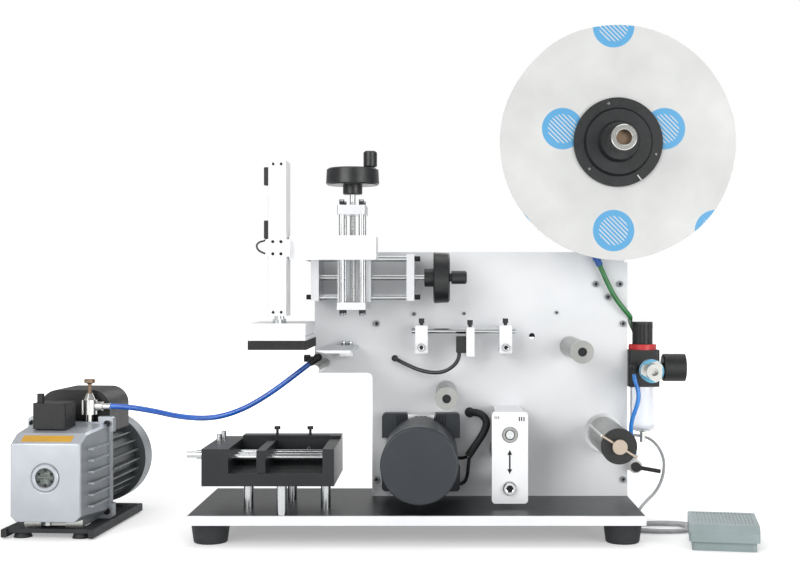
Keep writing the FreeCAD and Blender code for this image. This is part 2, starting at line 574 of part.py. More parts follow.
def make_xz_carriage():
    """The block that runs on the horizontal rods, and the two plates of the vertical slide."""
    front = z_axis_y + z_plate_depth / 2
    saddle = block(z_axis_x - carriage_width / 2, z_axis_x + carriage_width / 2, front, carriage_back,
                   carriage_bottom, x_plate_top)
    holes = [(x_axis_y, x_axis_z, x_screw_d)] + [(y, z, x_rod_d) for y, z in x_rod_places()]
    for y, z, d in holes:
        saddle = saddle.cut(bar((z_axis_x - carriage_width / 2, y, z), EAST, carriage_width, d + 2 * running))
    half = z_plate_width / 2
    near = z_axis_y - z_plate_depth / 2
    low = block(z_axis_x - half, z_axis_x + half, near, carriage_back - 2 * z_bottom_plate_thick,
                carriage_bottom - z_bottom_plate_thick, carriage_bottom)
    low = low.cut(bar((z_axis_x, z_axis_y, carriage_bottom - z_bottom_plate_thick), UP,
                      z_bottom_plate_thick, z_screw_d + 2 * running))
    high = rounded_slab(z_axis_x - half, z_axis_x + half, near, front, z_top_plate_bottom,
                        z_top_plate_bottom + z_top_plate_thick, 4.0, UP)
    high = high.cut(bar((z_axis_x, z_axis_y, z_top_plate_bottom), UP, z_top_plate_thick,
                        z_screw_d + 2 * running))
    return group(fuse(saddle, low), high)


def make_z_guide_rods():
    """Four rods between the plates, each with a cap screw above and below."""
    pieces = []
    top = z_top_plate_bottom + z_top_plate_thick
    under = carriage_bottom - z_bottom_plate_thick
    for x, y in z_rod_places():
        pieces.append(bar((x, y, carriage_bottom), UP, z_top_plate_bottom - carriage_bottom, z_rod_d))
        pieces.append(bar((x, y, top), UP, cap_screw_height, cap_screw_d))
        pieces.append(bar((x, y, under), DOWN, cap_screw_height, cap_screw_d))
    return group(*pieces)


def handwheel(hub_start, axis, side):
    """A dished handwheel with a crank grip; side points from the axis to the grip."""
    rim = hub_start + axis * wheel_hub_length
    face = rim + axis * wheel_thick
    hub_r, big, small = wheel_hub_d / 2, wheel_d / 2, wheel_small_d / 2
    bevel = 2.0
    steps = [(0, 0), (0, hub_r - 1), (1, hub_r), (wheel_hub_length, hub_r), (wheel_hub_length, big - bevel),
             (wheel_hub_length + bevel, big), (wheel_hub_length + wheel_thick - bevel, small + 1),
             (wheel_hub_length + wheel_thick, small - bevel), (wheel_hub_length + wheel_thick, 0)]
    wheel = turned(steps, tuple(hub_start), axis)
    seat = face + side * grip_offset
    neck, radius = grip_neck_d / 2, grip_d / 2
    grip = turned([(0, 0), (0, neck), (grip_neck, neck), (grip_neck, radius - 1), (grip_neck + 1, radius),
                   (grip_length - 2, radius), (grip_length, radius - 2), (grip_length, 0)], tuple(seat), axis)
    return wheel, grip


def make_x_spindle():
    """The horizontal lead screw with its handwheel and crank grip."""
    wheel, grip = handwheel(V(x_wheel_hub_left, x_axis_y, x_axis_z), EAST, SOUTH)
    screw = bar((x_left_plate, x_axis_y, x_axis_z), EAST, x_wheel_hub_left - x_left_plate, x_screw_d)
    return group(screw, wheel, grip)


def make_z_spindle():
    """The vertical lead screw with its handwheel and crank grip."""
    wheel, grip = handwheel(V(z_axis_x, z_axis_y, z_wheel_hub_bottom), UP, EAST)
    start = carriage_bottom - z_bottom_plate_thick
    screw = bar((z_axis_x, z_axis_y, start), UP, z_wheel_hub_bottom - start, z_screw_d)
    return group(screw, wheel, grip)


# ---- beam, cylinder, head ------------------------------------------------------------------
cylinder_right = beam_left - cylinder_gap
cylinder_left = cylinder_right - cylinder_width
cylinder_front = z_axis_y - cylinder_setoff
cylinder_y = cylinder_front + cylinder_depth / 2
cylinder_x = cylinder_left + cylinder_width / 2


def piston_places():
    return [(cylinder_x, cylinder_y + side * piston_rod_spread) for side in (-1, 1)]


def make_beam():
    """The cross beam, which clamps the cylinder in the jaw at its left end."""
    front = z_axis_y - beam_depth / 2
    beam = rounded_slab(beam_left, beam_right, front, front + beam_depth, beam_bottom, beam_top, 1.5, NORTH)
    jaw = block(cylinder_left - clamp_wall, beam_left + clamp_wall, cylinder_front - clamp_wall,
                cylinder_front + cylinder_depth + clamp_wall, clamp_bottom, clamp_top)
    beam = fuse(beam, jaw)
    pocket = block(cylinder_left, cylinder_right, cylinder_front, cylinder_front + cylinder_depth,
                   clamp_bottom, clamp_top)
    beam = beam.cut(pocket)
    for x, y in z_rod_places():
        beam = beam.cut(bar((x, y, beam_bottom), UP, beam_top - beam_bottom, z_rod_d + 2 * running))
    return beam.cut(bar((z_axis_x, z_axis_y, beam_bottom), UP, beam_top - beam_bottom,
                        z_screw_d + 2 * running))


def make_cylinder_body():
    """A twin-rod pneumatic cylinder with switch grooves along its sides."""
    body = rounded_slab(cylinder_left, cylinder_right, cylinder_front, cylinder_front + cylinder_depth,
                        cylinder_bottom, cylinder_top, cylinder_round, UP)
    height = cylinder_top - cylinder_bottom
    for side in (-1, 1):
        x = cylinder_x + side * cylinder_width / 5
        body = body.cut(block(x - cylinder_groove / 2, x + cylinder_groove / 2,
                              cylinder_front, cylinder_front + cylinder_groove_depth,
                              cylinder_bottom, cylinder_bottom + height))
        y = cylinder_y + side * cylinder_depth / 5
        for face in (cylinder_left, cylinder_right - cylinder_groove_depth):
            body = body.cut(block(face, face + cylinder_groove_depth,
                                  y - cylinder_groove / 2, y + cylinder_groove / 2,
                                  cylinder_bottom, cylinder_bottom + height))
    depth = piston_rod_length + face_gap
    for x, y in piston_places():
        body = body.cut(bar((x, y, cylinder_bottom), UP, depth, piston_rod_d + 2 * running))
    return body


def make_reed_switches():
    switches = []
    for z in switch_bottoms:
        body = rounded_slab(cylinder_left - switch_width, cylinder_left, cylinder_y - 14,
                            cylinder_y - 14 + switch_depth, z, z + switch_height, 1.5, NORTH)
        switches.append(body)
    return group(*switches)


def make_piston_rods():
    """Two rods, each with the nut that locks it into the suction head."""
    pieces = []
    for x, y in piston_places():
        rod = bar((x, y, head_top), UP, cylinder_bottom - head_top + piston_rod_length, piston_rod_d)
        nut = bar((x, y, head_top), UP, piston_nut_height, piston_nut_d)
        pieces.append(fuse(rod, nut))
    return group(*pieces)


def make_suction_head():
    left = head_right - head_width
    back = head_front + head_depth
    groove_top = head_top - head_block_height
    groove_bottom = groove_top - head_groove_height
    bottom = groove_bottom - head_strip_height
    upper = rounded_slab(left, head_right, head_front, back, groove_top, head_top, 2.0, UP)
    inset = head_groove_depth
    waist = block(left + inset, head_right - inset, head_front + inset, back - inset, groove_bottom, groove_top)
    lower = rounded_slab(left, head_right, head_front, back, bottom, groove_bottom, 2.0, UP)
    return fuse(upper, waist, lower)


def make_suction_pad():
    """The black pad under the head, with a field of vacuum holes in its face."""
    left = head_right - head_width
    back = head_front + head_depth
    top = head_top - head_block_height - head_groove_height - head_strip_height
    bottom = top - pad_height
    pad = rounded_slab(left - pad_overhang, head_right + pad_overhang, head_front - pad_overhang,
                       back + pad_overhang, bottom, top, pad_round, UP)
    centre_x, centre_y = (left + head_right) / 2, (head_front + back) / 2
    for i in range(vacuum_rows):
        for j in range(vacuum_columns):
            x = centre_x + (i - (vacuum_rows - 1) / 2) * vacuum_pitch
            y = centre_y + (j - (vacuum_columns - 1) / 2) * vacuum_pitch
            pad = pad.cut(block(x - vacuum_hole_d / 2, x + vacuum_hole_d / 2, y - vacuum_hole_d / 2,
                                y + vacuum_hole_d / 2, bottom, bottom + vacuum_hole_depth))
    return pad


# ---- peel plate ----------------------------------------------------------------------------
def make_peel_plate():
    """The thin plate whose bevelled left edge strips the label from its backing."""
    top = peel_bottom + peel_thick
    plate = prism([(peel_left, peel_front, top), (peel_left, peel_front, top - peel_edge),
                   (peel_left + peel_bevel, peel_front, peel_bottom), (peel_right, peel_front, peel_bottom),
                   (peel_right, peel_front, top)], NORTH, panel_front - peel_front)
    foot = block(peel_block_left, peel_block_right, panel_front - peel_block_depth, panel_front,
                 peel_bottom - peel_block_height, peel_bottom)
    return fuse(plate, foot)


def make_peel_roller():
    """A thin turning roller with a white end cap."""
    bore = peel_spindle_d + 2 * running
    front = peel_roller_front + peel_cap_thick
    length = panel_front - roller_end_gap - front
    tube = bar((peel_roller_x, front, peel_roller_z), NORTH, length, peel_roller_d)
    tube = tube.cut(bar((peel_roller_x, front, peel_roller_z), NORTH, length, bore))
    cap = bar((peel_roller_x, peel_roller_front, peel_roller_z), NORTH, peel_cap_thick, peel_roller_d)
    return group(tube, cap)


def make_thumb_screws():
    """Black thumb screws: one in the panel's edge and two on the fixture's back wall."""
    middle = panel_front + panel_thick / 2
    reach = edge_neck_length + edge_knob_length
    edge = turned([(0, 0), (0, edge_neck_d / 2), (edge_neck_length, edge_neck_d / 2),
                   (edge_neck_length, edge_knob_d / 2), (reach, edge_knob_d / 2), (reach, 0)],
                  (panel_left, middle, edge_knob_z), WEST)
    pieces = [edge]
    top = thumb_neck + thumb_head_height
    for x in thumb_places:
        pieces.append(turned([(0, 0), (0, thumb_neck_d / 2), (thumb_neck, thumb_neck_d / 2),
                              (thumb_neck, thumb_head_d / 2), (top, thumb_head_d / 2), (top, 0)],
                             (x, thumb_y, back_wall_top), UP))
    return group(*pieces)


# ---- label sensor --------------------------------------------------------------------------
def make_sensor_rail():
    blocks = []
    front = panel_front - rail_block_depth
    for left in rail_block_lefts:
        piece = rounded_slab(left, left + rail_block_width, front, panel_front,
                             rail_block_bottom, rail_block_top, 1.5, NORTH)
        blocks.append(piece.cut(bar((left, rail_rod_y, rail_rod_z), EAST, rail_block_width,
                                    rail_rod_d + 2 * slip)))
    start = rail_block_lefts[0] - rail_rod_overhang
    end = rail_block_lefts[-1] + rail_block_width + rail_rod_overhang
    rod = bar((start, rail_rod_y, rail_rod_z), EAST, end - start, rail_rod_d)
    return group(*blocks, rod)


def make_sensor_holder():
    """The clamp that slides on the rod, with its thumb screw and the label sensor."""
    right = holder_left + holder_width
    clamp = rounded_slab(holder_left, right, holder_front, holder_back, holder_bottom, holder_top, 1.5, EAST)
    clamp = clamp.cut(bar((holder_left, rail_rod_y, rail_rod_z), EAST, holder_width, rail_rod_d + 2 * running))
    screw = knurled_screw(holder_left + holder_width / 2, rail_rod_y, holder_top)
    eye = rounded_slab(holder_left - eye_width, holder_left, eye_front, eye_back, eye_bottom, eye_top, 1.5, NORTH)
    return group(clamp, screw, eye)


# ---- drive ---------------------------------------------------------------------------------
def make_drive_motor():
    """The gear case on the panel, the motor body in front of it and its end cap."""
    half = gear_case_side / 2
    back = panel_front
    case = rounded_slab(motor_x - half, motor_x + half, back - gear_case_depth, back,
                        motor_z - half, motor_z + half, gear_case_round, NORTH)
    notch = gear_case_notch / 2
    for low, high in ((half - gear_case_notch_depth, half), (-half, gear_case_notch_depth - half)):
        case = case.cut(block(motor_x - notch, motor_x + notch, back - gear_case_depth, back,
                              motor_z + low, motor_z + high))
        case = case.cut(block(motor_x + low, motor_x + high, back - gear_case_depth, back,
                              motor_z - notch, motor_z + notch))
    case = case.cut(bar((motor_x, back - gear_case_depth / 2, motor_z), NORTH, gear_case_depth / 2,
                        motor_shaft_d + 2 * running))
    cap_back = motor_front + motor_cap_thick
    body_length = back - gear_case_depth - cap_back
    body = bar((motor_x, cap_back, motor_z), NORTH, body_length, motor_d)
    groove = bar((motor_x, cap_back + 2 * motor_band, motor_z), NORTH, motor_band, motor_d)
    groove = groove.cut(bar((motor_x, cap_back + 2 * motor_band, motor_z), NORTH, motor_band, motor_d - 3))
    body = fuse(body.cut(groove), case)
    cap = bar((motor_x, motor_front, motor_z), NORTH, motor_cap_thick, motor_d)
    cap = rounded_end(cap, (motor_x, motor_front, motor_z), motor_d, motor_cap_round)
    return group(body, cap)


def pulley(x, z, diameter, y):
    """A flanged belt pulley centred on a belt's middle plane."""
    half = pulley_width / 2
    radius, rim = diameter / 2, diameter / 2 + pulley_flange_rise
    return turned([(-half, 0), (-half, rim), (pulley_flange - half, rim), (pulley_flange - half, radius),
                   (half - pulley_flange, radius), (half - pulley_flange, rim), (half, rim), (half, 0)],
                  (x, y, z), NORTH)


def make_motor_pulley():
    start = panel_front - gear_case_depth / 2
    shaft = bar((motor_x, start, motor_z), NORTH, belt_one_y + pulley_width - start, motor_shaft_d)
    return fuse(shaft, pulley(motor_x, motor_z, motor_pulley_d, belt_one_y))


def make_drive_roller():
    """The rubber-covered roller that pulls the backing paper, with its shaft and two pulleys."""
    start = traction_front + traction_plate_thick + face_gap
    length = panel_front - face_gap * 2 - start
    roller = bar((drive_x, start, drive_z), NORTH, length, drive_roller_d)
    end = belt_two_y + pulley_width
    shaft = bar((drive_x, traction_front, drive_z), NORTH, end - traction_front, drive_shaft_d)
    return fuse(roller, shaft, pulley(drive_x, drive_z, drive_pulley_d, belt_one_y),
                pulley(drive_x, drive_z, take_up_pulley_d, belt_two_y))


def pinch_centre():
    reach = (drive_roller_d + pinch_d) / 2 + roller_nip
    angle = math.radians(pinch_angle)
    return drive_x + reach * math.cos(angle), drive_z + reach * math.sin(angle)


def make_pinch_roller():
    """The roller that presses the paper on the drive roller; its journals turn in plate and panel."""
    x, z = pinch_centre()
    start = traction_front + traction_plate_thick + face_gap
    roller = bar((x, start, z), NORTH, panel_front - face_gap - start, pinch_d)
    journal = bar((x, traction_front + traction_plate_thick / 2, z), NORTH,
                  start - traction_front - traction_plate_thick / 2, pinch_shaft_d)
    tail = bar((x, panel_front - face_gap, z), NORTH, panel_thick + face_gap, pinch_shaft_d)
    return fuse(roller, journal, tail)


def make_traction_frame():
    """The front plate, the bridge that ties it to the panel, and the lower pillar."""
    right, top = traction_left + traction_width, traction_bottom + traction_height
    back = traction_front + traction_plate_thick
    plate = rounded_slab(traction_left, right, traction_front, back, traction_bottom, top, traction_round, NORTH)
    plate = plate.cut(bar((drive_x, traction_front, drive_z), NORTH, traction_plate_thick,
                          bearing_d + 2 * slip))
    x, z = pinch_centre()
    plate = plate.cut(bar((x, traction_front + traction_plate_thick / 2, z), NORTH,
                          traction_plate_thick / 2, pinch_shaft_d + 2 * running))
    bridge = block(traction_left + traction_round, right - traction_round, back, panel_front,
                   top - traction_bridge_thick, top)
    pillar = bar((pillar_x, back, pillar_z), NORTH, panel_front - back, pillar_d)
    return fuse(plate, bridge, pillar)


def belt(y, first, second):
    """A flat belt round two pulleys, given as (x, z, radius)."""
    def loop(grow):
        (x1, z1, r1), (x2, z2, r2) = first, second
        r1, r2 = r1 + grow, r2 + grow
        heading = math.atan2(z2 - z1, x2 - x1)
        lean = math.acos((r1 - r2) / math.hypot(x2 - x1, z2 - z1))
        ends = {}
        for side in (-1, 1):
            angle = heading + side * lean
            for key, (x, z, r) in ((("a", side), (x1, z1, r1)), (("b", side), (x2, z2, r2))):
                ends[key] = V(x + r * math.cos(angle), y - belt_width / 2, z + r * math.sin(angle))
        far = V(x2 + r2 * math.cos(heading), y - belt_width / 2, z2 + r2 * math.sin(heading))
        near = V(x1 - r1 * math.cos(heading), y - belt_width / 2, z1 - r1 * math.sin(heading))
        wire = Part.Wire([Part.LineSegment(ends["a", 1], ends["b", 1]).toShape(),
                          Part.Arc(ends["b", 1], far, ends["b", -1]).toShape(),
                          Part.LineSegment(ends["b", -1], ends["a", -1]).toShape(),
                          Part.Arc(ends["a", -1], near, ends["a", 1]).toShape()])
        return Part.Face(wire).extrude(NORTH * belt_width)
    return loop(face_gap + belt_thick).cut(loop(face_gap))


def make_drive_belts():
    first = belt(belt_one_y, (motor_x, motor_z, motor_pulley_d / 2), (drive_x, drive_z, drive_pulley_d / 2))
    second = belt(belt_two_y, (drive_x, drive_z, take_up_pulley_d / 2),
                  (rewind_x, rewind_z, rewind_pulley_d / 2))
    return group(first, second)


def bearing_ring(x, z, y, length, outer, inner):
    ring = bar((x, y, z), NORTH, length, outer)
    return ring.cut(bar((x, y, z), NORTH, length, inner + 2 * running))


def spindle(x, z, d, front):
    """A fixed spindle that stands out of the panel, with the collar that spaces its roller."""
    stud = bar((x, front, z), NORTH, panel_front - front, d)
    collar = bar((x, panel_front - spindle_flange_thick, z), NORTH, spindle_flange_thick,
                 d + 2 * spindle_flange_rise)
    return fuse(stud, collar)


def make_spindles_and_bearings():
    """Fixed spindles of the idle rollers, and the bearings of the turning shafts."""
    front_ring = bearing_ring(drive_x, drive_z, traction_front, traction_plate_thick, bearing_d, drive_shaft_d)
    back_ring = bearing_ring(drive_x, drive_z, panel_front, panel_thick, bearing_d, drive_shaft_d)
    flange = bearing_ring(rewind_x, rewind_z, panel_front - rewind_flange_thick, rewind_flange_thick,
                          rewind_flange_d, rewind_shaft_d)
    return group(spindle(guide_one_x, guide_one_z, guide_spindle_d, guide_one_front + spindle_recess),
                 spindle(guide_two_x, guide_two_z, guide_spindle_d, guide_two_front + spindle_recess),
                 spindle(peel_roller_x, peel_roller_z, peel_spindle_d,
                         peel_roller_front + peel_cap_thick + face_gap),
                 front_ring, back_ring, flange)


def guide_roller(x, z, front):
    """A tube roller with a slightly larger ring at its outer end."""
    bore = guide_spindle_d / 2 + running
    back = panel_front - roller_end_gap
    return turned([(front, bore), (front, guide_ring_d / 2), (front + guide_ring_width, guide_ring_d / 2),
                   (front + guide_ring_width, guide_d / 2), (back, guide_d / 2), (back, bore)],
                  (x, 0, z), NORTH)


def make_rewind_drum():
    """The take-up drum on its driven shaft, its end disc and nut, and the spring clip."""
    disc_front = rewind_front - rewind_disc_thick
    back = panel_front - rewind_flange_thick - face_gap
    drum = bar((rewind_x, rewind_front, rewind_z), NORTH, back - rewind_front, rewind_d)
    shaft_end = belt_two_y + pulley_width
    shaft = bar((rewind_x, back, rewind_z), NORTH, shaft_end - back, rewind_shaft_d)
    drum = fuse(drum, shaft, pulley(rewind_x, rewind_z, rewind_pulley_d, belt_two_y))
    disc = bar((rewind_x, disc_front, rewind_z), NORTH, rewind_disc_thick, rewind_disc_d)
    nut = bar((rewind_x, disc_front, rewind_z), SOUTH, rewind_nut_length, rewind_nut_d)
    angle = math.radians(clip_angle)
    out = V(math.cos(angle), 0, math.sin(angle))
    centre = V(rewind_x, disc_front - clip_d / 2, rewind_z)
    across = bar(tuple(centre + out * clip_reach), out * -1, 2 * clip_reach, clip_d)
    along = bar(tuple(centre + out * clip_reach), NORTH, -centre.y, clip_d)
    clip = fuse(across, along)
    channel = bar(tuple(centre + out * clip_reach), out * -1, 2 * clip_reach, clip_d + 2 * slip)
    return group(drum, disc, nut.cut(channel), clip)


# ---- bottle fixture ------------------------------------------------------------------------
fixture_back = fixture_front + fixture_depth
fixture_floor = fixture_bottom + fixture_plate_thick


def fixture_rod_ys():
    return [fixture_knob_y + side * fixture_rod_spread for side in (-1, 1)]


def make_fixture_body():
    """Floor plate, screw block, back wall and right wall, bolted together."""
    floor = block(fixture_left, fixture_right, fixture_front, fixture_back, fixture_bottom, fixture_floor)
    screw_block = block(fixture_left, fixture_left + screw_block_width, fixture_front, fixture_back,
                        fixture_floor, screw_block_top)
    screw_block = screw_block.cut(bar((fixture_left, fixture_knob_y, fixture_rod_z), EAST,
                                      screw_block_width, fixture_screw_d + 2 * running))
    wall_front = fixture_back - back_wall_thick
    back_wall = block(fixture_left + screw_block_width, fixture_right, wall_front, fixture_back,
                      fixture_floor, back_wall_top)
    for x in thumb_places:
        back_wall = back_wall.cut(bar((x, wall_front, wall_screw_z), NORTH, wall_screw_sink,
                                      cap_screw_d + 2 * slip))
    back_wall = back_wall.cut(block(fixture_left + screw_block_width, fixture_right - right_wall_thick,
                                    wall_front, wall_front + back_lip_depth,
                                    back_wall_top - back_lip_height, back_wall_top))
    right_wall = block(fixture_right - right_wall_thick, fixture_right, fixture_front, wall_front,
                       fixture_floor, screw_block_top)
    right_wall = right_wall.cut(bar((fixture_right - right_wall_thick, fixture_knob_y, fixture_rod_z), EAST,
                                    screw_seat, fixture_screw_d + 2 * running))
    return group(floor, screw_block, back_wall, right_wall)


def make_fixture_rods():
    """The four posts under the fixture and the two rods that guide its jaw."""
    offsets = [(-post_reach_x, 0), (post_reach_x, 0), (0, -post_reach_y), (0, post_reach_y)]
    posts = [bar((post_centre_x + dx, post_centre_y + dy, base_top), UP, fixture_bottom - base_top, post_d)
             for dx, dy in offsets]
    start = fixture_left + screw_block_width
    length = fixture_right - right_wall_thick - start
    rods = [bar((start, y, fixture_rod_z), EAST, length, fixture_rod_d) for y in fixture_rod_ys()]
    return group(*posts, *rods)


def make_fixture_jaw():
    back = fixture_back - back_wall_thick - jaw_clearance
    jaw = block(jaw_left, jaw_left + jaw_thick, fixture_front, back, fixture_floor + jaw_clearance, jaw_top)
    for y in fixture_rod_ys():
        jaw = jaw.cut(bar((jaw_left, y, fixture_rod_z), EAST, jaw_thick, fixture_rod_d + 2 * running))
    return jaw.cut(bar((jaw_left, fixture_knob_y, fixture_rod_z), EAST, jaw_thick,
                       fixture_screw_d + 2 * running))


def make_fixture_screw():
    """The screw that moves the jaw, with its stepped knob outside the block."""
    start = V(fixture_left, fixture_knob_y, fixture_rod_z)
    length = fixture_right - right_wall_thick + screw_seat - face_gap - fixture_left
    screw = bar(tuple(start), EAST, length, fixture_screw_d)
    inner = fixture_knob_length - fixture_knob_step
    knob = bar(tuple(start + WEST * face_gap), WEST, inner, fixture_knob_d)
    tip = bar(tuple(start + WEST * (face_gap + inner)), WEST, fixture_knob_step, fixture_knob_step_d)
    joint = bar(tuple(start + WEST * face_gap), EAST, face_gap, fixture_screw_d)
    return fuse(screw, joint, knob, tip)


# ---- filter regulator ----------------------------------------------------------------------
regulator_left = panel_right
regulator_right = regulator_left + regulator_width
regulator_x = regulator_left + regulator_width / 2
regulator_back = regulator_front + regulator_depth
regulator_y = regulator_front + regulator_depth / 2


def make_regulator_body():
    """The regulator's block on the panel's edge, its locking ring and the pressure gauge."""
    body = rounded_slab(regulator_left, regulator_right, regulator_front, regulator_back,
                        regulator_bottom, regulator_top, regulator_round, UP)
    ring = bar((regulator_x, regulator_y, regulator_top), UP, ring_height, ring_d - 1)
    ridge = bar((regulator_x, regulator_y, regulator_top + 1.5), UP, ring_height - 3, ring_d)
    ring = fuse(ring, ridge)
    neck = bar((regulator_right, regulator_y, gauge_z), EAST, gauge_neck_length, gauge_neck_d)
    dial_x = regulator_right + gauge_neck_length
    dial = bar((dial_x, regulator_y, gauge_z), EAST, gauge_length, gauge_d)
    dial = rounded_end(dial, (dial_x, regulator_y, gauge_z), gauge_d, 3.0)
    gauge = fuse(neck, dial)
    rim_x = dial_x + gauge_length
    gauge = gauge.cut(bar((rim_x - 2, regulator_y, gauge_z), EAST, 2, gauge_d - 4))
    return group(body, ring, gauge)


def make_regulator_knob():
    """The fluted knob that sets the pressure."""
    start = regulator_top + ring_height + face_gap
    knob = bar((regulator_x, regulator_y, start), UP, knob_top_z - start, knob_d)
    for i in range(knob_flutes):
        angle = 2 * math.pi * i / knob_flutes
        x, y = regulator_x + knob_d / 2 * math.cos(angle), regulator_y + knob_d / 2 * math.sin(angle)
        knob = knob.cut(bar((x, y, start), UP, knob_top_z - start - 4, knob_flute_d))
    return knob


def make_regulator_bowl():
    """The clear bowl that catches water, with its drain cock."""
    height = regulator_bottom - bowl_bottom
    outer = bar((regulator_x, regulator_y, bowl_bottom), UP, height, bowl_d)
    outer = rounded_end(outer, (regulator_x, regulator_y, bowl_bottom), bowl_d, bowl_round)
    inner_d = bowl_d - 2 * bowl_wall
    floor = bowl_bottom + bowl_wall
    inner = bar((regulator_x, regulator_y, floor), UP, regulator_bottom - floor, inner_d)
    inner = rounded_end(inner, (regulator_x, regulator_y, floor), inner_d, bowl_round - bowl_wall)
    drain = bar((regulator_x, regulator_y, bowl_bottom), DOWN, drain_length, drain_d)
    return group(outer.cut(inner), drain)


def elbow(start, way, reach, turn, seat, diameter):
    """A push-in elbow: a stem out of a face, a round corner, and the port that the hose enters."""
    corner = V(*start) + way * reach
    ball = Part.makeSphere(diameter / 2 + elbow_bulge, corner)
    return fuse(ball, bar(start, way, reach, diameter), bar(tuple(corner), turn, seat, diameter))


def make_air_fittings():
    """Push-in elbows, the front coupler and the shut-off valve, all fixed to panel and regulator."""
    panel_elbow = elbow((panel_elbow_x, panel_front, panel_elbow_z), SOUTH, panel_front - hose_plane_y,
                        slope(vacuum_slope), hose_seat, fitting_d)
    green_elbow = elbow((green_elbow_x, panel_front, green_elbow_z), SOUTH, panel_front - green_plane_y,
                        slope(green_slope), green_seat, small_fitting_d)
    blue_elbow = elbow((blue_elbow_x, regulator_front, blue_elbow_z), SOUTH, regulator_front - blue_plane_y,
                       DOWN, blue_seat, small_fitting_d)
    rear_elbow = elbow((regulator_x, regulator_back, coupler_z), NORTH, rear_elbow_reach, UP,
                       rear_elbow_seat, small_fitting_d)
    stem = bar((regulator_x, regulator_front, coupler_z), SOUTH, regulator_front - coupler_collar_back,
               coupler_stem_d)
    collar = bar((regulator_x, coupler_collar_back, coupler_z), SOUTH, coupler_collar_thick, coupler_collar_d)
    tip = coupler_collar_back - coupler_collar_thick
    nose = bar((regulator_x, tip, coupler_z), SOUTH, coupler_nose_length, coupler_nose_d)
    nose = nose.cut(bar((regulator_x, tip - coupler_nose_length, coupler_z), NORTH, coupler_bore_depth,
                        coupler_bore_d))
    valve = bar((valve_x, valve_front, valve_z), NORTH, valve_length, valve_d)
    port = bar((valve_x, valve_front + valve_length / 2, valve_z), UP, valve_d / 2 + valve_port_height,
               small_fitting_d)
    tab = block(panel_right, valve_x, panel_front, valve_front + valve_length,
                valve_z - valve_tab / 2, valve_z + valve_tab / 2)
    valve = fuse(valve, port, tab)
    valve = valve.cut(bar((valve_x, valve_front, valve_z), NORTH, lever_pin_depth, lever_pin_d + 2 * running))
    return group(panel_elbow, green_elbow, blue_elbow, rear_elbow, stem, collar, nose, valve)


def slope(pair):
    """A direction in a plane parallel to the panel."""
    return V(pair[0], 0, pair[1])


def make_valve_lever():
    """The lever that opens and shuts the valve."""
    front = valve_front - face_gap - lever_hub_length
    hub = bar((valve_x, front, valve_z), NORTH, lever_hub_length, lever_hub_d)
    pin = bar((valve_x, valve_front - face_gap, valve_z), NORTH, lever_pin_depth, lever_pin_d)
    angle = math.radians(lever_tilt)
    arm = bar((valve_x, front + lever_hub_length / 2, valve_z), V(math.cos(angle), 0, math.sin(angle)),
              lever_reach, lever_d)
    return fuse(hub, pin, arm)


# ---- vacuum pump ---------------------------------------------------------------------------
def casing_section(y, half, bottom, top):
    """One cross-section of the casing, with its corners cut off."""
    low, high = casing_corner, casing_top_corner
    points = [(-half + low, bottom), (half - low, bottom), (half, bottom + low), (half, top - high),
              (half - high, top), (-half + high, top), (-half, top - high), (-half, bottom + low)]
    return Part.makePolygon([V(x, y, z) for x, z in points + points[:1]])


def make_pump_casing():
    """The oil case: a tapered box with side ribs, its mounting flange, sight glass and drain."""
    sections = [casing_section(0, nose_half, nose_bottom, nose_top),
                casing_section(brow_y, brow_half, nose_bottom - 1, brow_top),
                casing_section(casing_length, casing_half, casing_bottom, casing_top)]
    case = Part.makeLoft(sections, True, True)
    ribs = []
    for i in range(rib_count):
        z = rib_low + i * rib_pitch
        ribs.append(block(-rib_half, rib_half, rib_start, casing_length, z, z + rib_thick))
    flange = rounded_slab(-flange_half, flange_half, casing_length, casing_length + flange_thick,
                          flange_bottom, flange_top, 6.0, NORTH)
    cut_low, cut_high = flange_bottom + flange_ear, flange_top - flange_ear
    for side in (-1, 1):
        edge = side * flange_half
        inner = side * (flange_half - 4)
        flange = flange.cut(block(min(edge, inner), max(edge, inner), casing_length,
                                  casing_length + flange_thick, cut_low, cut_high))
    flange = flange.cut(block(-flange_half + flange_ear, flange_half - flange_ear, casing_length,
                              casing_length + flange_thick, flange_top - flange_dip, flange_top))
    feet = [block(side * 30 - 12, side * 30 + 12, 30, casing_length, flange_bottom, casing_bottom + 8)
            for side in (-1, 1)]
    lugs = []
    for side in (-1, 1):
        for z in (flange_bottom + 11, flange_top - 10):
            lugs.append(bar((side * (flange_half - 8), casing_length, z), SOUTH, 2.5, flange_lug_d))
    case = fuse(case, *ribs, flange, *feet, *lugs)
    case = case.cut(bar((0, 0, sight_z), NORTH, sight_depth, sight_bezel_d))
    bezel = bar((0, sight_depth, sight_z), SOUTH, sight_depth + sight_bezel_rise, sight_bezel_d)
    glass_room = bar((0, sight_depth, sight_z), SOUTH, sight_depth + sight_bezel_rise, sight_glass_d)
    glass = bar((0, sight_depth, sight_z), SOUTH, sight_depth, sight_glass_d)
    plug = bar((0, brow_y / 2, nose_bottom + 1), DOWN, drain_plug_length + 1, drain_plug_d)
    case = case.cut(bar((0, brow_y / 2, nose_bottom + 1), DOWN, drain_plug_length + 1, drain_plug_d))
    return group(case, bezel.cut(glass_room), glass, plug)


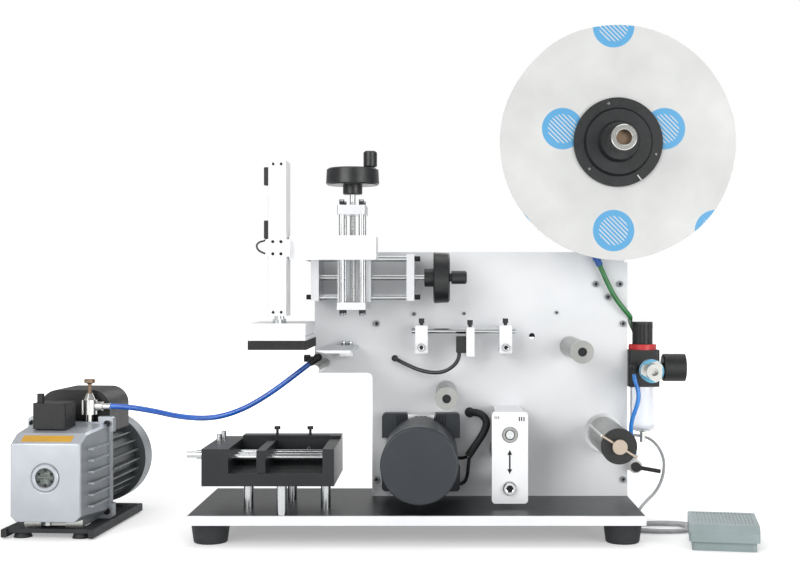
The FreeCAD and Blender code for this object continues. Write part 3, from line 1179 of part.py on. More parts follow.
def make_pump_motor():
    """The finned motor behind the flange and the fan cover at its end."""
    start = casing_length + flange_thick
    core = bar((0, start, pump_axis_z), NORTH, fin_length, motor_core_d)
    fins = []
    for i in range(fin_count):
        fin = block(motor_core_d / 2 - 2, fin_d / 2, start, start + fin_length, -fin_thick / 2, fin_thick / 2)
        fin.rotate(V(0, 0, 0), NORTH, 360.0 * i / fin_count)
        fin.translate(V(0, 0, pump_axis_z))
        fins.append(fin)
    foot = block(-pump_foot_half, pump_foot_half, start + pump_foot_start,
                 start + pump_foot_start + pump_foot_length,
                 flange_bottom, pump_axis_z - motor_core_d / 2 + 6)
    finned = fuse(core, *fins, foot)
    fan_start = start + fin_length
    cover = bar((0, fan_start, pump_axis_z), NORTH, fan_cover_length, fan_cover_d)
    cover = rounded_end(cover, (0, fan_start + fan_cover_length, pump_axis_z), fan_cover_d, fan_cover_round)
    inner = bar((0, fan_start + fan_cover_wall, pump_axis_z), NORTH, fan_cover_length - 2 * fan_cover_wall,
                fan_cover_d - 2 * fan_cover_wall)
    end = fan_start + fan_cover_length
    inner = rounded_end(inner, (0, end - fan_cover_wall, pump_axis_z), fan_cover_d - 2 * fan_cover_wall,
                        fan_cover_round - fan_cover_wall)
    cover = cover.cut(inner)
    for i in range(fan_slot_count):
        slot = block(16, fan_cover_d / 2 - 22, end - 2 * fan_cover_wall, end + 1,
                     -fan_slot_width / 2, fan_slot_width / 2)
        slot.rotate(V(0, 0, 0), NORTH, 360.0 * i / fan_slot_count)
        slot.translate(V(0, 0, pump_axis_z))
        cover = cover.cut(slot)
    return group(finned, cover)


def make_pump_covers():
    """The black capacitor cover over the motor and the exhaust box with its filler cap."""
    end = top_cover_start + top_cover_length
    box_ = block(-top_cover_half, top_cover_half, top_cover_start, end, top_cover_bottom, top_cover_top)
    crown = [e for e in box_.Edges if e.BoundBox.ZMin > top_cover_top - 1 and e.BoundBox.YLength > 1]
    box_ = box_.makeFillet(top_cover_round, crown)
    box_ = box_.cut(bar((0, top_cover_start, pump_axis_z), NORTH, top_cover_length, fin_d + 2 * slip))
    seat_top = casing_top - 2.5
    exhaust = rounded_slab(exhaust_left, exhaust_right, exhaust_start, exhaust_end, seat_top, exhaust_top,
                           4.0, UP)
    cap = bar((exhaust_left + exhaust_cap_inset, exhaust_start + exhaust_cap_inset, exhaust_top), UP,
              exhaust_cap_height, exhaust_cap_d)
    exhaust = fuse(exhaust, cap)
    case_top = Part.makeLoft([casing_section(0, nose_half, nose_bottom, nose_top),
                              casing_section(brow_y, brow_half, nose_bottom - 1, brow_top),
                              casing_section(casing_length, casing_half, casing_bottom, casing_top)], True, True)
    return group(box_, exhaust.cut(case_top))


def make_pump_inlet():
    """The inlet block with its hose barb, and the gas-ballast screw on top."""
    neck_bottom = flange_top - flange_dip
    neck = bar((inlet_x, inlet_y, neck_bottom), UP, inlet_block_bottom - neck_bottom, inlet_neck_d)
    height = inlet_block_top - inlet_block_bottom
    body = bar((inlet_x, inlet_y, inlet_block_bottom), UP, height, inlet_block_d)
    cone = Part.makeCone(inlet_block_d / 2 - 3, inlet_stem_d / 2 + 1, inlet_cone_height,
                         V(inlet_x, inlet_y, inlet_block_top), UP)
    nut = bar((inlet_x, inlet_y, barb_z), EAST, inlet_block_d / 2 + barb_nut_length, barb_nut_d)
    barb = bar((inlet_x, inlet_y, barb_z), EAST, barb_reach, barb_d)
    block_ = fuse(neck, body, cone, nut, barb)
    stem_start = inlet_block_top + inlet_cone_height
    top = inlet_stem_height + inlet_knob_height
    knob = turned([(0, 0), (0, inlet_stem_d / 2), (inlet_stem_height, inlet_stem_d / 2),
                   (inlet_stem_height + 2, inlet_knob_d / 2), (top - 1, inlet_knob_d / 2),
                   (top, inlet_knob_d / 2 - 1), (top, 0)], (inlet_x, inlet_y, stem_start), UP)
    return group(block_, knob)


def make_pump_frame():
    """The carrying frame under the pump, on four rubber cups."""
    top = frame_bottom + frame_thick
    plate = block(-frame_half, frame_half, frame_start, frame_end, frame_bottom, top)
    window = block(-frame_half + frame_side, frame_half - frame_side, frame_start + frame_bar,
                   frame_end - frame_bar, frame_bottom, top)
    flange_back = casing_length + flange_thick
    keep = [block(-frame_half, frame_half, casing_length - strap_margin, flange_back + strap_margin,
                  frame_bottom, top),
            block(-frame_half, frame_half, flange_back + pump_foot_start - strap_margin,
                  flange_back + pump_foot_start + pump_foot_length + strap_margin, frame_bottom, top)]
    rails = []
    for side in (-1, 1):
        x = side * rail_half
        rails.append(rounded_slab(x - rail_width / 2, x + rail_width / 2, frame_start - rail_nose, frame_end,
                                  rail_bottom, top, 2.0, NORTH))
    plate = plate.cut(window)
    frame = fuse(plate, *keep, *rails)
    cups = [Part.makeCone(cup_d / 2, cup_d / 2 - 3, frame_bottom, V(side * cup_reach_x, y, 0), UP)
            for side in (-1, 1) for y in (cup_front, cup_back)]
    return group(frame, *cups)


# ---- foot pedal ----------------------------------------------------------------------------
def make_pedal_base():
    """The pedal's floor tray with the hinge pin and the cable gland at its heel."""
    inset = pedal_wall + pedal_side_gap
    half = pedal_width / 2 - inset
    tray = rounded_slab(-half, half, inset + 2, pedal_length - inset, 0, pedal_base_height, pedal_round, UP)
    lug_y = pedal_length - pedal_pin_inset
    lugs = [block(side * (half - 4) - 4, side * (half - 4) + 4, lug_y - 6, pedal_length - inset,
                  pedal_base_height, pedal_pin_z + pedal_pin_d / 2 + 2) for side in (-1, 1)]
    pin = bar((-pedal_width / 2, lug_y, pedal_pin_z), EAST, pedal_width, pedal_pin_d)
    gland = bar((gland_x, pedal_length - inset, gland_z), NORTH, inset + gland_length, gland_d)
    return fuse(tray, *lugs, pin, gland)


def make_pedal_cover():
    """The ribbed treadle: a shell with a sloped toe, hinged on the pin at its heel."""
    half = pedal_width / 2

    def shell(inset, top, bottom):
        side = half - inset
        points = [(inset, bottom), (inset, top - pedal_slope), (inset + pedal_nose, top),
                  (pedal_length - inset, top), (pedal_length - inset, bottom)]
        return prism([(-side, y, z) for y, z in points], EAST, 2 * side)

    outer = shell(0, pedal_height, pedal_skirt_bottom)
    corners = [e for e in outer.Edges if e.BoundBox.ZLength > 5 and e.BoundBox.YLength < 1]
    outer = outer.makeFillet(pedal_round, corners)
    cover = outer.cut(shell(pedal_wall, pedal_height - pedal_wall, pedal_skirt_bottom - 1))
    start = (pedal_length - (pedal_rib_count - 1) * pedal_rib_pitch) / 2 + 6
    for i in range(pedal_rib_count):
        x = (i - (pedal_rib_count - 1) / 2) * pedal_rib_pitch
        cover = cover.cut(block(x - pedal_rib_width / 2, x + pedal_rib_width / 2, start,
                                pedal_length - 8, pedal_height - pedal_rib_depth, pedal_height))
    lug_y = pedal_length - pedal_pin_inset
    return cover.cut(bar((-half, lug_y, pedal_pin_z), EAST, pedal_width, pedal_pin_d + 2 * running))


# ---- hoses, cables -------------------------------------------------------------------------
def along(point, direction, reach):
    return tuple(V(*point) + V(*direction) * reach)


def from_edge(route):
    """A route whose x is measured from the panel's right edge, in the machine's frame."""
    return [(panel_right + x, y, z) for x, y, z in route]


def vacuum_hose_points():
    barb_end = placed((inlet_x + barb_reach, inlet_y, barb_z), pump_x, pump_y, pump_yaw)
    elbow_end = along((panel_elbow_x, hose_plane_y, panel_elbow_z), slope(vacuum_slope), hose_seat)
    approach = along(elbow_end, slope(vacuum_slope), vacuum_approach)
    leave = placed((inlet_x + barb_reach + vacuum_lead, inlet_y, barb_z), pump_x, pump_y, pump_yaw)
    return [barb_end, leave] + vacuum_route + [approach, elbow_end]


def green_hose_points():
    start = along((green_elbow_x, green_plane_y, green_elbow_z), slope(green_slope), green_seat)
    end = (regulator_x, regulator_back + rear_elbow_reach, coupler_z + rear_elbow_seat)
    return [start] + from_edge(green_route) + [end]


def blue_hose_points():
    start = (blue_elbow_x, blue_plane_y, blue_elbow_z - blue_seat)
    end = (valve_x, valve_front + valve_length / 2, valve_z + valve_d / 2 + valve_port_height)
    return [start] + from_edge(blue_route) + [end]


def pedal_cable_points():
    start = (panel_right - cover_margin + outlet_length - cover_wall, outlet_y, outlet_z)
    route = from_edge(pedal_route)
    return [start] + route + [(route[-1][0], route[-1][1] - landing_shift, coil_height)]


def pedal_tail_points():
    """From the coil's rim to the gland in the pedal's heel."""
    end = placed((gland_x, pedal_length + gland_length, gland_z), pedal_x, pedal_y, pedal_yaw)
    return from_edge(tail_route) + [end]


def sensor_cable_points():
    start = (sensor_route[0][0], sensor_route[0][1], eye_bottom)
    end = (sensor_hole[0], panel_front, sensor_hole[1])
    return [start] + sensor_route + [end]


def make_pedal_coil():
    """The spare cable, wound into a flat oval hank."""
    def oval(grow):
        half = coil_length / 2 + grow
        radius = coil_width / 2 + grow
        middle = block(coil_x - half + radius, coil_x + half - radius, coil_y - radius, coil_y + radius,
                       0, coil_height)
        ends = [bar((coil_x + side * (half - radius), coil_y, 0), UP, coil_height, 2 * radius)
                for side in (-1, 1)]
        return fuse(middle, *ends)
    ring = oval(0).cut(oval(-coil_band))
    return ring


def make_motor_leads():
    """The two leads that leave the gear case and enter the sleeve."""
    return group(cord("motor_leads", upper_lead_route, motor_lead_d),
                 cord("motor_leads", lower_lead_route, motor_lead_d))


PARTS = {
    "base_plate": make_base_plate, "base_feet": make_base_feet, "main_panel": make_main_panel,
    "screws_and_glands": make_screws_and_glands, "rear_cover": make_rear_cover,
    "reel_arm": make_reel_arm, "reel_mandrel": make_reel_mandrel, "reel_disc": make_reel_disc,
    "reel_hub": make_reel_hub, "x_rail": make_x_rail, "xz_carriage": make_xz_carriage,
    "x_spindle": make_x_spindle, "z_guide_rods": make_z_guide_rods, "z_spindle": make_z_spindle,
    "cross_beam": make_beam, "cylinder_body": make_cylinder_body, "reed_switches": make_reed_switches,
    "piston_rods": make_piston_rods, "suction_head": make_suction_head, "suction_pad": make_suction_pad,
    "peel_plate": make_peel_plate, "peel_roller": make_peel_roller, "thumb_screws": make_thumb_screws,
    "sensor_rail": make_sensor_rail, "sensor_holder": make_sensor_holder,
    "drive_motor": make_drive_motor, "motor_pulley": make_motor_pulley, "drive_belts": make_drive_belts,
    "spindles_and_bearings": make_spindles_and_bearings, "traction_frame": make_traction_frame,
    "drive_roller": make_drive_roller, "pinch_roller": make_pinch_roller,
    "guide_roller_1": lambda: guide_roller(guide_one_x, guide_one_z, guide_one_front),
    "guide_roller_2": lambda: guide_roller(guide_two_x, guide_two_z, guide_two_front),
    "rewind_drum": make_rewind_drum, "fixture_body": make_fixture_body, "fixture_rods": make_fixture_rods,
    "fixture_jaw": make_fixture_jaw, "fixture_screw": make_fixture_screw,
    "regulator_body": make_regulator_body, "regulator_knob": make_regulator_knob,
    "regulator_bowl": make_regulator_bowl, "air_fittings": make_air_fittings,
    "valve_lever": make_valve_lever,
    "pump_casing": lambda: moved(make_pump_casing(), pump_x, pump_y, pump_yaw),
    "pump_motor": lambda: moved(make_pump_motor(), pump_x, pump_y, pump_yaw),
    "pump_covers": lambda: moved(make_pump_covers(), pump_x, pump_y, pump_yaw),
    "pump_inlet": lambda: moved(make_pump_inlet(), pump_x, pump_y, pump_yaw),
    "pump_frame": lambda: moved(make_pump_frame(), pump_x, pump_y, pump_yaw),
    "pedal_base": lambda: moved(make_pedal_base(), pedal_x, pedal_y, pedal_yaw),
    "pedal_cover": lambda: moved(make_pedal_cover(), pedal_x, pedal_y, pedal_yaw),
    "vacuum_hose": lambda: cord("vacuum_hose", vacuum_hose_points(), vacuum_hose_d),
    "green_hose": lambda: cord("green_hose", green_hose_points(), green_hose_d),
    "blue_hose": lambda: cord("blue_hose", blue_hose_points(), blue_hose_d),
    "pedal_cable": lambda: cord("pedal_cable", pedal_cable_points(), pedal_cable_d),
    "pedal_coil": make_pedal_coil,
    "pedal_tail": lambda: cord("pedal_tail", pedal_tail_points(), pedal_cable_d),
    "sensor_cable": lambda: cord("sensor_cable", sensor_cable_points(), sensor_cable_d),
    "motor_cable": lambda: cord("motor_cable", motor_route, motor_cable_d),
    "motor_leads": make_motor_leads,
}

os.makedirs("parts", exist_ok=True)
for node, make in PARTS.items():
    shape = make()
    assert shape.isValid(), node
    shape.exportStep(f"parts/{node}.step")
    print(node, len(shape.Solids), round(shape.Volume / 1000, 1))
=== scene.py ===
"""The looks of a bench-top bottle labelling machine, its vacuum pump and its foot pedal.

Every length is in metres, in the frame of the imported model.
"""
import math
import random

import bmesh
import bpy
from mathutils import Matrix, Vector


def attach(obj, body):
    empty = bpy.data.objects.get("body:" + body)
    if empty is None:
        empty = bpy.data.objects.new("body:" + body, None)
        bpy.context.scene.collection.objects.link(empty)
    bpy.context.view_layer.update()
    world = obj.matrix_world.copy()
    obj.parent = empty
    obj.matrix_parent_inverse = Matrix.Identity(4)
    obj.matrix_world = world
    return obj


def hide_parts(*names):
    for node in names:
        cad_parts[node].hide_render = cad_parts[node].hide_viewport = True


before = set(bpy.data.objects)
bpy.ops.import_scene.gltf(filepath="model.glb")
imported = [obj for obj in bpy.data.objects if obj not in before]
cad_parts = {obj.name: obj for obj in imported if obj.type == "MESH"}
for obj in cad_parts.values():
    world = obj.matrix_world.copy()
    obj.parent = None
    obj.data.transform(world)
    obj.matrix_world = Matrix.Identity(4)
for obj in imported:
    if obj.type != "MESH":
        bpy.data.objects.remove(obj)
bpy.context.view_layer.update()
MM = 0.001


# ---- colours and finishes ------------------------------------------------------------------
def shade(code):
    """A linear colour from a #rrggbb code."""
    parts = [int(code[i:i + 2], 16) / 255 for i in (1, 3, 5)]
    return tuple(c / 12.92 if c <= 0.04045 else ((c + 0.055) / 1.055) ** 2.4 for c in parts) + (1.0,)


class Finish:
    """A surface finish under construction: a Principled shader and the nodes that feed it."""

    def __init__(self, name):
        self.material = bpy.data.materials.new(name)
        self.material.use_nodes = True
        self.nodes = self.material.node_tree.nodes
        self.links = self.material.node_tree.links
        self.shader = self.nodes["Principled BSDF"]
        self.place = self.nodes.new("ShaderNodeTexCoord").outputs["Object"]

    def node(self, kind, inputs=(), **settings):
        """A shader node with its settings, and its inputs set or linked."""
        made = self.nodes.new(kind)
        for key, value in settings.items():
            setattr(made, key, value)
        for key, value in dict(inputs).items():
            if isinstance(value, bpy.types.NodeSocket):
                self.links.new(value, made.inputs[key])
            else:
                made.inputs[key].default_value = value
        return made

    def set(self, **values):
        """Sets or links the shader's own sockets."""
        for key, value in values.items():
            socket = self.shader.inputs[key.replace("_", " ")]
            if isinstance(value, bpy.types.NodeSocket):
                self.links.new(value, socket)
            else:
                socket.default_value = value
        return self

    def stretched(self, scale):
        """The place on the piece, drawn out along one direction."""
        return self.node("ShaderNodeMapping", {"Vector": self.place, "Scale": scale}).outputs["Vector"]

    def noise(self, scale, detail=3.0, rough=0.55, vector=None):
        """Soft irregular clouds or grain."""
        made = self.node("ShaderNodeTexNoise", {"Vector": vector or self.place, "Scale": scale,
                                                "Detail": detail, "Roughness": rough})
        return made.outputs["Fac"]

    def ramp(self, value, low, high, to_low=0.0, to_high=1.0):
        """A value's range moved to another range and kept within it."""
        made = self.node("ShaderNodeMapRange", {"Value": value, "From Min": low, "From Max": high,
                                                "To Min": to_low, "To Max": to_high})
        return made.outputs["Result"]

    def maths(self, operation, first, second=0.0, third=0.0):
        """One sum on values."""
        made = self.node("ShaderNodeMath", {0: first, 1: second, 2: third}, operation=operation)
        return made.outputs["Value"]

    def blend(self, amount, first, second):
        """A mix of two colours."""
        made = self.node("ShaderNodeMix", data_type="RGBA")
        for key, value in (("Factor", amount), ("A", first), ("B", second)):
            socket = [s for s in made.inputs if s.name == key and s.type in ("RGBA", "VALUE")]
            socket = [s for s in socket if (s.type == "RGBA") == (key != "Factor")][0]
            if isinstance(value, bpy.types.NodeSocket):
                self.links.new(value, socket)
            else:
                socket.default_value = value
        return [s for s in made.outputs if s.type == "RGBA"][0]

    def bump(self, height, strength, distance):
        """A fine relief from a height."""
        inputs = {"Height": height, "Strength": strength, "Distance": distance}
        return self.node("ShaderNodeBump", inputs).outputs["Normal"]


def enamel(name, light, dark, rough, grain=1400.0, depth=0.06, metal=0.0, coat=0.0):
    """Powder coat or enamel: a fine orange-peel grain and faint broad clouds."""
    made = Finish(name)
    clouds = made.ramp(made.noise(9.0, 4.0), 0.3, 0.7)
    made.set(Base_Color=made.blend(clouds, shade(light), shade(dark)), Metallic=metal,
             Roughness=made.ramp(made.noise(60.0), 0.3, 0.7, rough - 0.04, rough + 0.05),
             Coat_Weight=coat, Coat_Roughness=0.2,
             Normal=made.bump(made.noise(grain, 2.0), depth, 0.0004))
    return made.material


def satin_metal(name, light, dark, rough, along=(1.0, 1.0, 1.0), depth=0.05, metal=1.0):
    """Anodised or brushed metal: fine streaks drawn out along one direction."""
    made = Finish(name)
    fine = made.noise(900.0, 3.0, 0.6, made.stretched(along))
    clouds = made.ramp(made.noise(14.0, 3.0), 0.25, 0.75)
    made.set(Base_Color=made.blend(clouds, shade(light), shade(dark)), Metallic=metal,
             Roughness=made.ramp(fine, 0.25, 0.75, rough - 0.05, rough + 0.08),
             Normal=made.bump(fine, depth, 0.0003))
    return made.material


def moulded(name, light, dark, rough, grain=2200.0, depth=0.12):
    """Moulded plastic or rubber with a fine spark grain."""
    made = Finish(name)
    clouds = made.ramp(made.noise(25.0, 3.0), 0.3, 0.7)
    made.set(Base_Color=made.blend(clouds, shade(light), shade(dark)),
             Roughness=made.ramp(made.noise(180.0), 0.3, 0.7, rough - 0.06, rough + 0.06),
             Normal=made.bump(made.noise(grain, 2.0), depth, 0.0003))
    return made.material


def tube_wall(name, light, dark, rough, through=0.0):
    """Smooth extruded hose or cable sheath."""
    made = Finish(name)
    clouds = made.ramp(made.noise(70.0, 2.0), 0.3, 0.7)
    made.set(Base_Color=made.blend(clouds, shade(light), shade(dark)), Roughness=rough,
             Coat_Weight=0.35, Coat_Roughness=0.12, Subsurface_Weight=through,
             Normal=made.bump(made.noise(500.0, 2.0), 0.03, 0.0003))
    return made.material


panel_coat = enamel("panel powder coat", "#dfe0e2", "#d6d8da", 0.42)
cover_coat = enamel("cover powder coat", "#d9dbdd", "#cfd1d4", 0.45)
silver_anodise = satin_metal("silver anodised aluminium", "#dcdddf", "#cfd1d3", 0.34, metal=0.85)
bright_anodise = enamel("bright bead-blasted aluminium", "#eeeef0", "#e4e5e7", 0.36, 2600.0, 0.05, 0.35)
plate_edge = satin_metal("milled plate edge", "#eceef0", "#dfe1e4", 0.3, (1.0, 1.0, 8.0), metal=0.6)
plate_top = satin_metal("black anodised plate top", "#24292c", "#1b1f22", 0.34, (0.06, 1.0, 1.0), metal=0.35)
fixture_black = satin_metal("black anodised fixture", "#2c2f31", "#222426", 0.36, (0.2, 1.0, 1.0), metal=0.5)
ground_steel = satin_metal("ground steel", "#c9cbcc", "#b4b7b8", 0.16, (1.0, 1.0, 1.0), 0.02)
screw_steel = satin_metal("screw steel", "#8f9294", "#7c7f81", 0.28)
black_oxide = satin_metal("black oxide screw", "#2b2c2e", "#1d1e20", 0.36, metal=0.6)
wheel_plastic = moulded("black phenolic", "#16181a", "#0d0e10", 0.36, 1500.0, 0.06)
black_plastic = moulded("black moulded plastic", "#0e0f11", "#08090a", 0.5)
black_rubber = moulded("black rubber", "#24272a", "#191b1d", 0.62, 1800.0, 0.2)
pad_rubber = moulded("suction pad rubber", "#151516", "#0d0d0e", 0.7, 900.0, 0.3)
motor_enamel = enamel("motor grey enamel", "#2c3137", "#23282d", 0.4, 1200.0, 0.08, 0.1)
motor_rim = satin_metal("turned motor rim", "#8d9296", "#7b8084", 0.3)
roller_rubber = moulded("roller rubber", "#3a3a39", "#2c2c2b", 0.6, 1600.0, 0.2)
roller_metal = satin_metal("roller aluminium", "#a8a9a6", "#8f908d", 0.3, (1.0, 0.05, 1.0), 0.08)
pump_enamel = enamel("pump silver enamel", "#b9bdc3", "#a8acb2", 0.38, 700.0, 0.16, 0.55)
pump_casting = enamel("pump rough casting", "#8c9195", "#74797d", 0.5, 420.0, 0.35, 0.5)
pump_fins = enamel("pump motor fins", "#6d7274", "#55595b", 0.46, 500.0, 0.3, 0.35)
fan_enamel = enamel("fan cover enamel", "#94999d", "#7f8488", 0.42, 900.0, 0.14, 0.4)
nickel = satin_metal("nickel plate", "#cfd0cc", "#b7b8b4", 0.2)
aged_brass = satin_metal("aged brass", "#8b7866", "#6d5c4d", 0.34)
clip_chrome = satin_metal("clip chrome", "#d8d6d2", "#bdbab5", 0.12, depth=0.01)
beige_nut = satin_metal("rewinder nut", "#bcae9f", "#a39687", 0.36)
white_nylon = moulded("white nylon", "#ecebe8", "#deddda", 0.5)
ring_red = moulded("red locking ring", "#c22a2c", "#ad2224", 0.38)
collar_blue = moulded("sky blue collar", "#5fa9c9", "#4b94b6", 0.34)
fitting_blue = moulded("blue push-in ring", "#1f5fae", "#184d92", 0.34)
pedal_grey = enamel("pedal satin grey", "#95a2a6", "#84918f", 0.42, 1500.0, 0.1, 0.25)
amber_strip = moulded("amber strip", "#d2a234", "#bd8e28", 0.42)
hose_blue = tube_wall("blue polyurethane hose", "#1560c0", "#0e4ca4", 0.2, 0.05)
hose_sky = tube_wall("sky blue hose", "#1f86dc", "#1873c8", 0.2, 0.05)
hose_green = tube_wall("green hose", "#14742f", "#0f5f26", 0.3, 0.0)
grey_sheath = tube_wall("grey cable sheath", "#a9acae", "#97999c", 0.42)
black_sheath = tube_wall("black cable sheath", "#1b1c1d", "#111213", 0.4)


def braid(name):
    """A woven black sleeve: crossed threads round the cable."""
    made = Finish(name)
    weave = made.node("ShaderNodeTexVoronoi", {"Vector": made.place, "Scale": 700.0})
    made.set(Base_Color=made.blend(made.ramp(weave.outputs["Distance"], 0.1, 0.6), shade("#101112"),
                                   shade("#2b2d2f")), Roughness=0.55,
             Normal=made.bump(weave.outputs["Distance"], 0.5, 0.0006))
    return made.material


braided_black = braid("black braided sleeve")


def clear_bowl():
    """The see-through wall of the filter bowl."""
    made = Finish("clear polycarbonate bowl")
    made.set(Base_Color=shade("#eef0f4"), Roughness=0.08, Transmission_Weight=0.85, IOR=1.45,
             Normal=made.bump(made.noise(120.0, 2.0), 0.04, 0.0004))
    return made.material


# Places in mm that the finishes and the small pieces share.
reel_x, reel_z = 329.0, 552.0
rewind_x, rewind_z = 322.5, 135.6
drive_x, drive_z = 179.0, 144.0
dial_x, dial_z = 380.75, 231.5
sensor_gland_x, sensor_gland_z = 14.5, 245.3
motor_gland_x, motor_gland_z = 125.0, 165.4
sight_z = 86.7
motif_pitch, motif_left, motif_low = 0.142, 0.006, 0.052
dot_size, hatch_size, soft_edge = 0.2, 0.14, 0.007
hatch_count, hatch_gap = 22.0, 0.3


def milky_sheet():
    """A milky sheet with a staggered pattern of plain hatched dots."""
    made = Finish("milky reel sheet")
    parts = made.node("ShaderNodeSeparateXYZ", {"Vector": made.place}).outputs
    from_left = made.maths("SUBTRACT", parts["X"], reel_x * MM - motif_left)
    from_low = made.maths("SUBTRACT", parts["Z"], reel_z * MM - motif_low)
    across = made.maths("DIVIDE", from_left, motif_pitch)
    upward = made.maths("DIVIDE", from_low, motif_pitch)
    row = made.maths("FLOOR", upward)
    across = made.maths("MULTIPLY_ADD", row, 0.5, across)
    u = made.maths("SUBTRACT", made.maths("FRACT", across), 0.5)
    v = made.maths("SUBTRACT", made.maths("FRACT", upward), 0.5)
    squares = made.maths("MULTIPLY_ADD", u, u, made.maths("MULTIPLY", v, v))
    reach = made.maths("SQRT", squares)
    dot = made.ramp(reach, dot_size, dot_size + soft_edge, 1.0, 0.0)
    slant = made.maths("ADD", u, v)
    phase = made.maths("FRACT", made.maths("MULTIPLY", slant, hatch_count))
    stripe = made.maths("LESS_THAN", phase, hatch_gap)
    bare = made.maths("MULTIPLY", stripe, made.ramp(reach, hatch_size, hatch_size + soft_edge, 1.0, 0.0))
    ink = made.maths("MULTIPLY", dot, made.maths("SUBTRACT", 1.0, bare))
    clouds = made.ramp(made.noise(11.0, 4.0), 0.3, 0.72)
    film = made.blend(clouds, shade("#cbccca"), shade("#babbba"))
    made.set(Base_Color=made.blend(made.maths("MULTIPLY", ink, 0.92), film, shade("#3a93c4")),
             Roughness=made.ramp(made.noise(35.0), 0.3, 0.7, 0.3, 0.42), Coat_Weight=0.2, Coat_Roughness=0.15,
             Normal=made.bump(made.noise(22.0, 3.0), 0.3, 0.002))
    return made.material


sheet_finish = milky_sheet()
bowl_clear = clear_bowl()


# ---- finishes on the CAD nodes ---------------------------------------------------------------
# The rules tell places apart by bounds in mm on the machine's own X, Y and Z.
def paint(node, rule):
    """Gives each face of a node the finish that a rule picks from its centre, in mm, and its normal."""
    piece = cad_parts[node]
    mesh = piece.data
    mesh.materials.clear()
    order = []
    for face in mesh.polygons:
        c, n = face.center, face.normal
        choice = rule(c.x / MM, c.y / MM, c.z / MM, n) if callable(rule) else rule
        if choice not in order:
            order.append(choice)
            mesh.materials.append(choice)
        face.material_index = order.index(choice)


def small_fasteners(x, y, z, n):
    """Rubber cable glands, black knobs above the peel plate, and steel screws."""
    if abs(x - sensor_gland_x) < 7 and abs(z - sensor_gland_z) < 7:
        return black_rubber
    if abs(x - motor_gland_x) < 9 and abs(z - motor_gland_z) < 9:
        return black_rubber
    if x > 350 and y > 40:
        return black_rubber
    if z > 294 and y < 0:
        return black_plastic
    if x < -220 or (x < -100 and z < 125):
        return ground_steel
    return screw_steel


def reel_core(x, y, z, n):
    """The brass bore and nickel nose in front, plastic core behind the film, steel spindle."""
    r = math.hypot(x - reel_x, z - reel_z)
    if y < -115:
        return aged_brass if r < 12.5 else nickel
    return ground_steel if r < 25 and y > -20 else wheel_plastic


def spindle(wheel_start, axis):
    """A rule for a lead screw that ends in a handwheel."""
    def rule(x, y, z, n):
        return wheel_plastic if (x, y, z)[axis] > wheel_start - 0.1 else ground_steel
    return rule


def regulator(x, y, z, n):
    """The black block with the red locking ring at its top."""
    if z > 258.01 and x < 404:
        return ring_red
    return black_plastic


def fittings(x, y, z, n):
    """Black and blue push-in elbows, the nylon valve body, and the dial's nickel coupler and collar."""
    if x < -80:
        return black_plastic
    if x > 355 and z < 110:
        return white_nylon
    from_axis = math.hypot(x - dial_x, z - dial_z)
    if x > 358 and y < -49.9:
        return nickel if y < -66.1 or from_axis < 10.9 else collar_blue
    if abs(x - 381) < 9.2 and y < 3:
        return nickel
    return fitting_blue if z > 300 else black_plastic


def rewinder(x, y, z, n):
    """The drum, its black end disc, beige nut and chrome clip."""
    r = math.hypot(x - rewind_x, z - rewind_z)
    if r > 24.6 and y < 15:
        return clip_chrome
    if y < -146.9 and r > 10.3:
        return clip_chrome if abs(n.y) < 0.6 else black_plastic
    if y < -147.05:
        return beige_nut
    if y < -140.9:
        return black_plastic
    return roller_metal


def guide(front):
    """A rule for a guide roller with a nylon front ring."""
    def rule(x, y, z, n):
        return white_nylon if y < front + 4.1 and n.y > -0.9 else roller_metal
    return rule


def pump_body(x, y, z, n):
    """Enamel on the casing's front and top, rough casting on its sides, and a nickel drain."""
    if z < 24 and y < -60:
        return nickel
    plain = n.y < -0.8 or abs(n.z) > 0.5 and z > 100
    return pump_enamel if plain else pump_casting


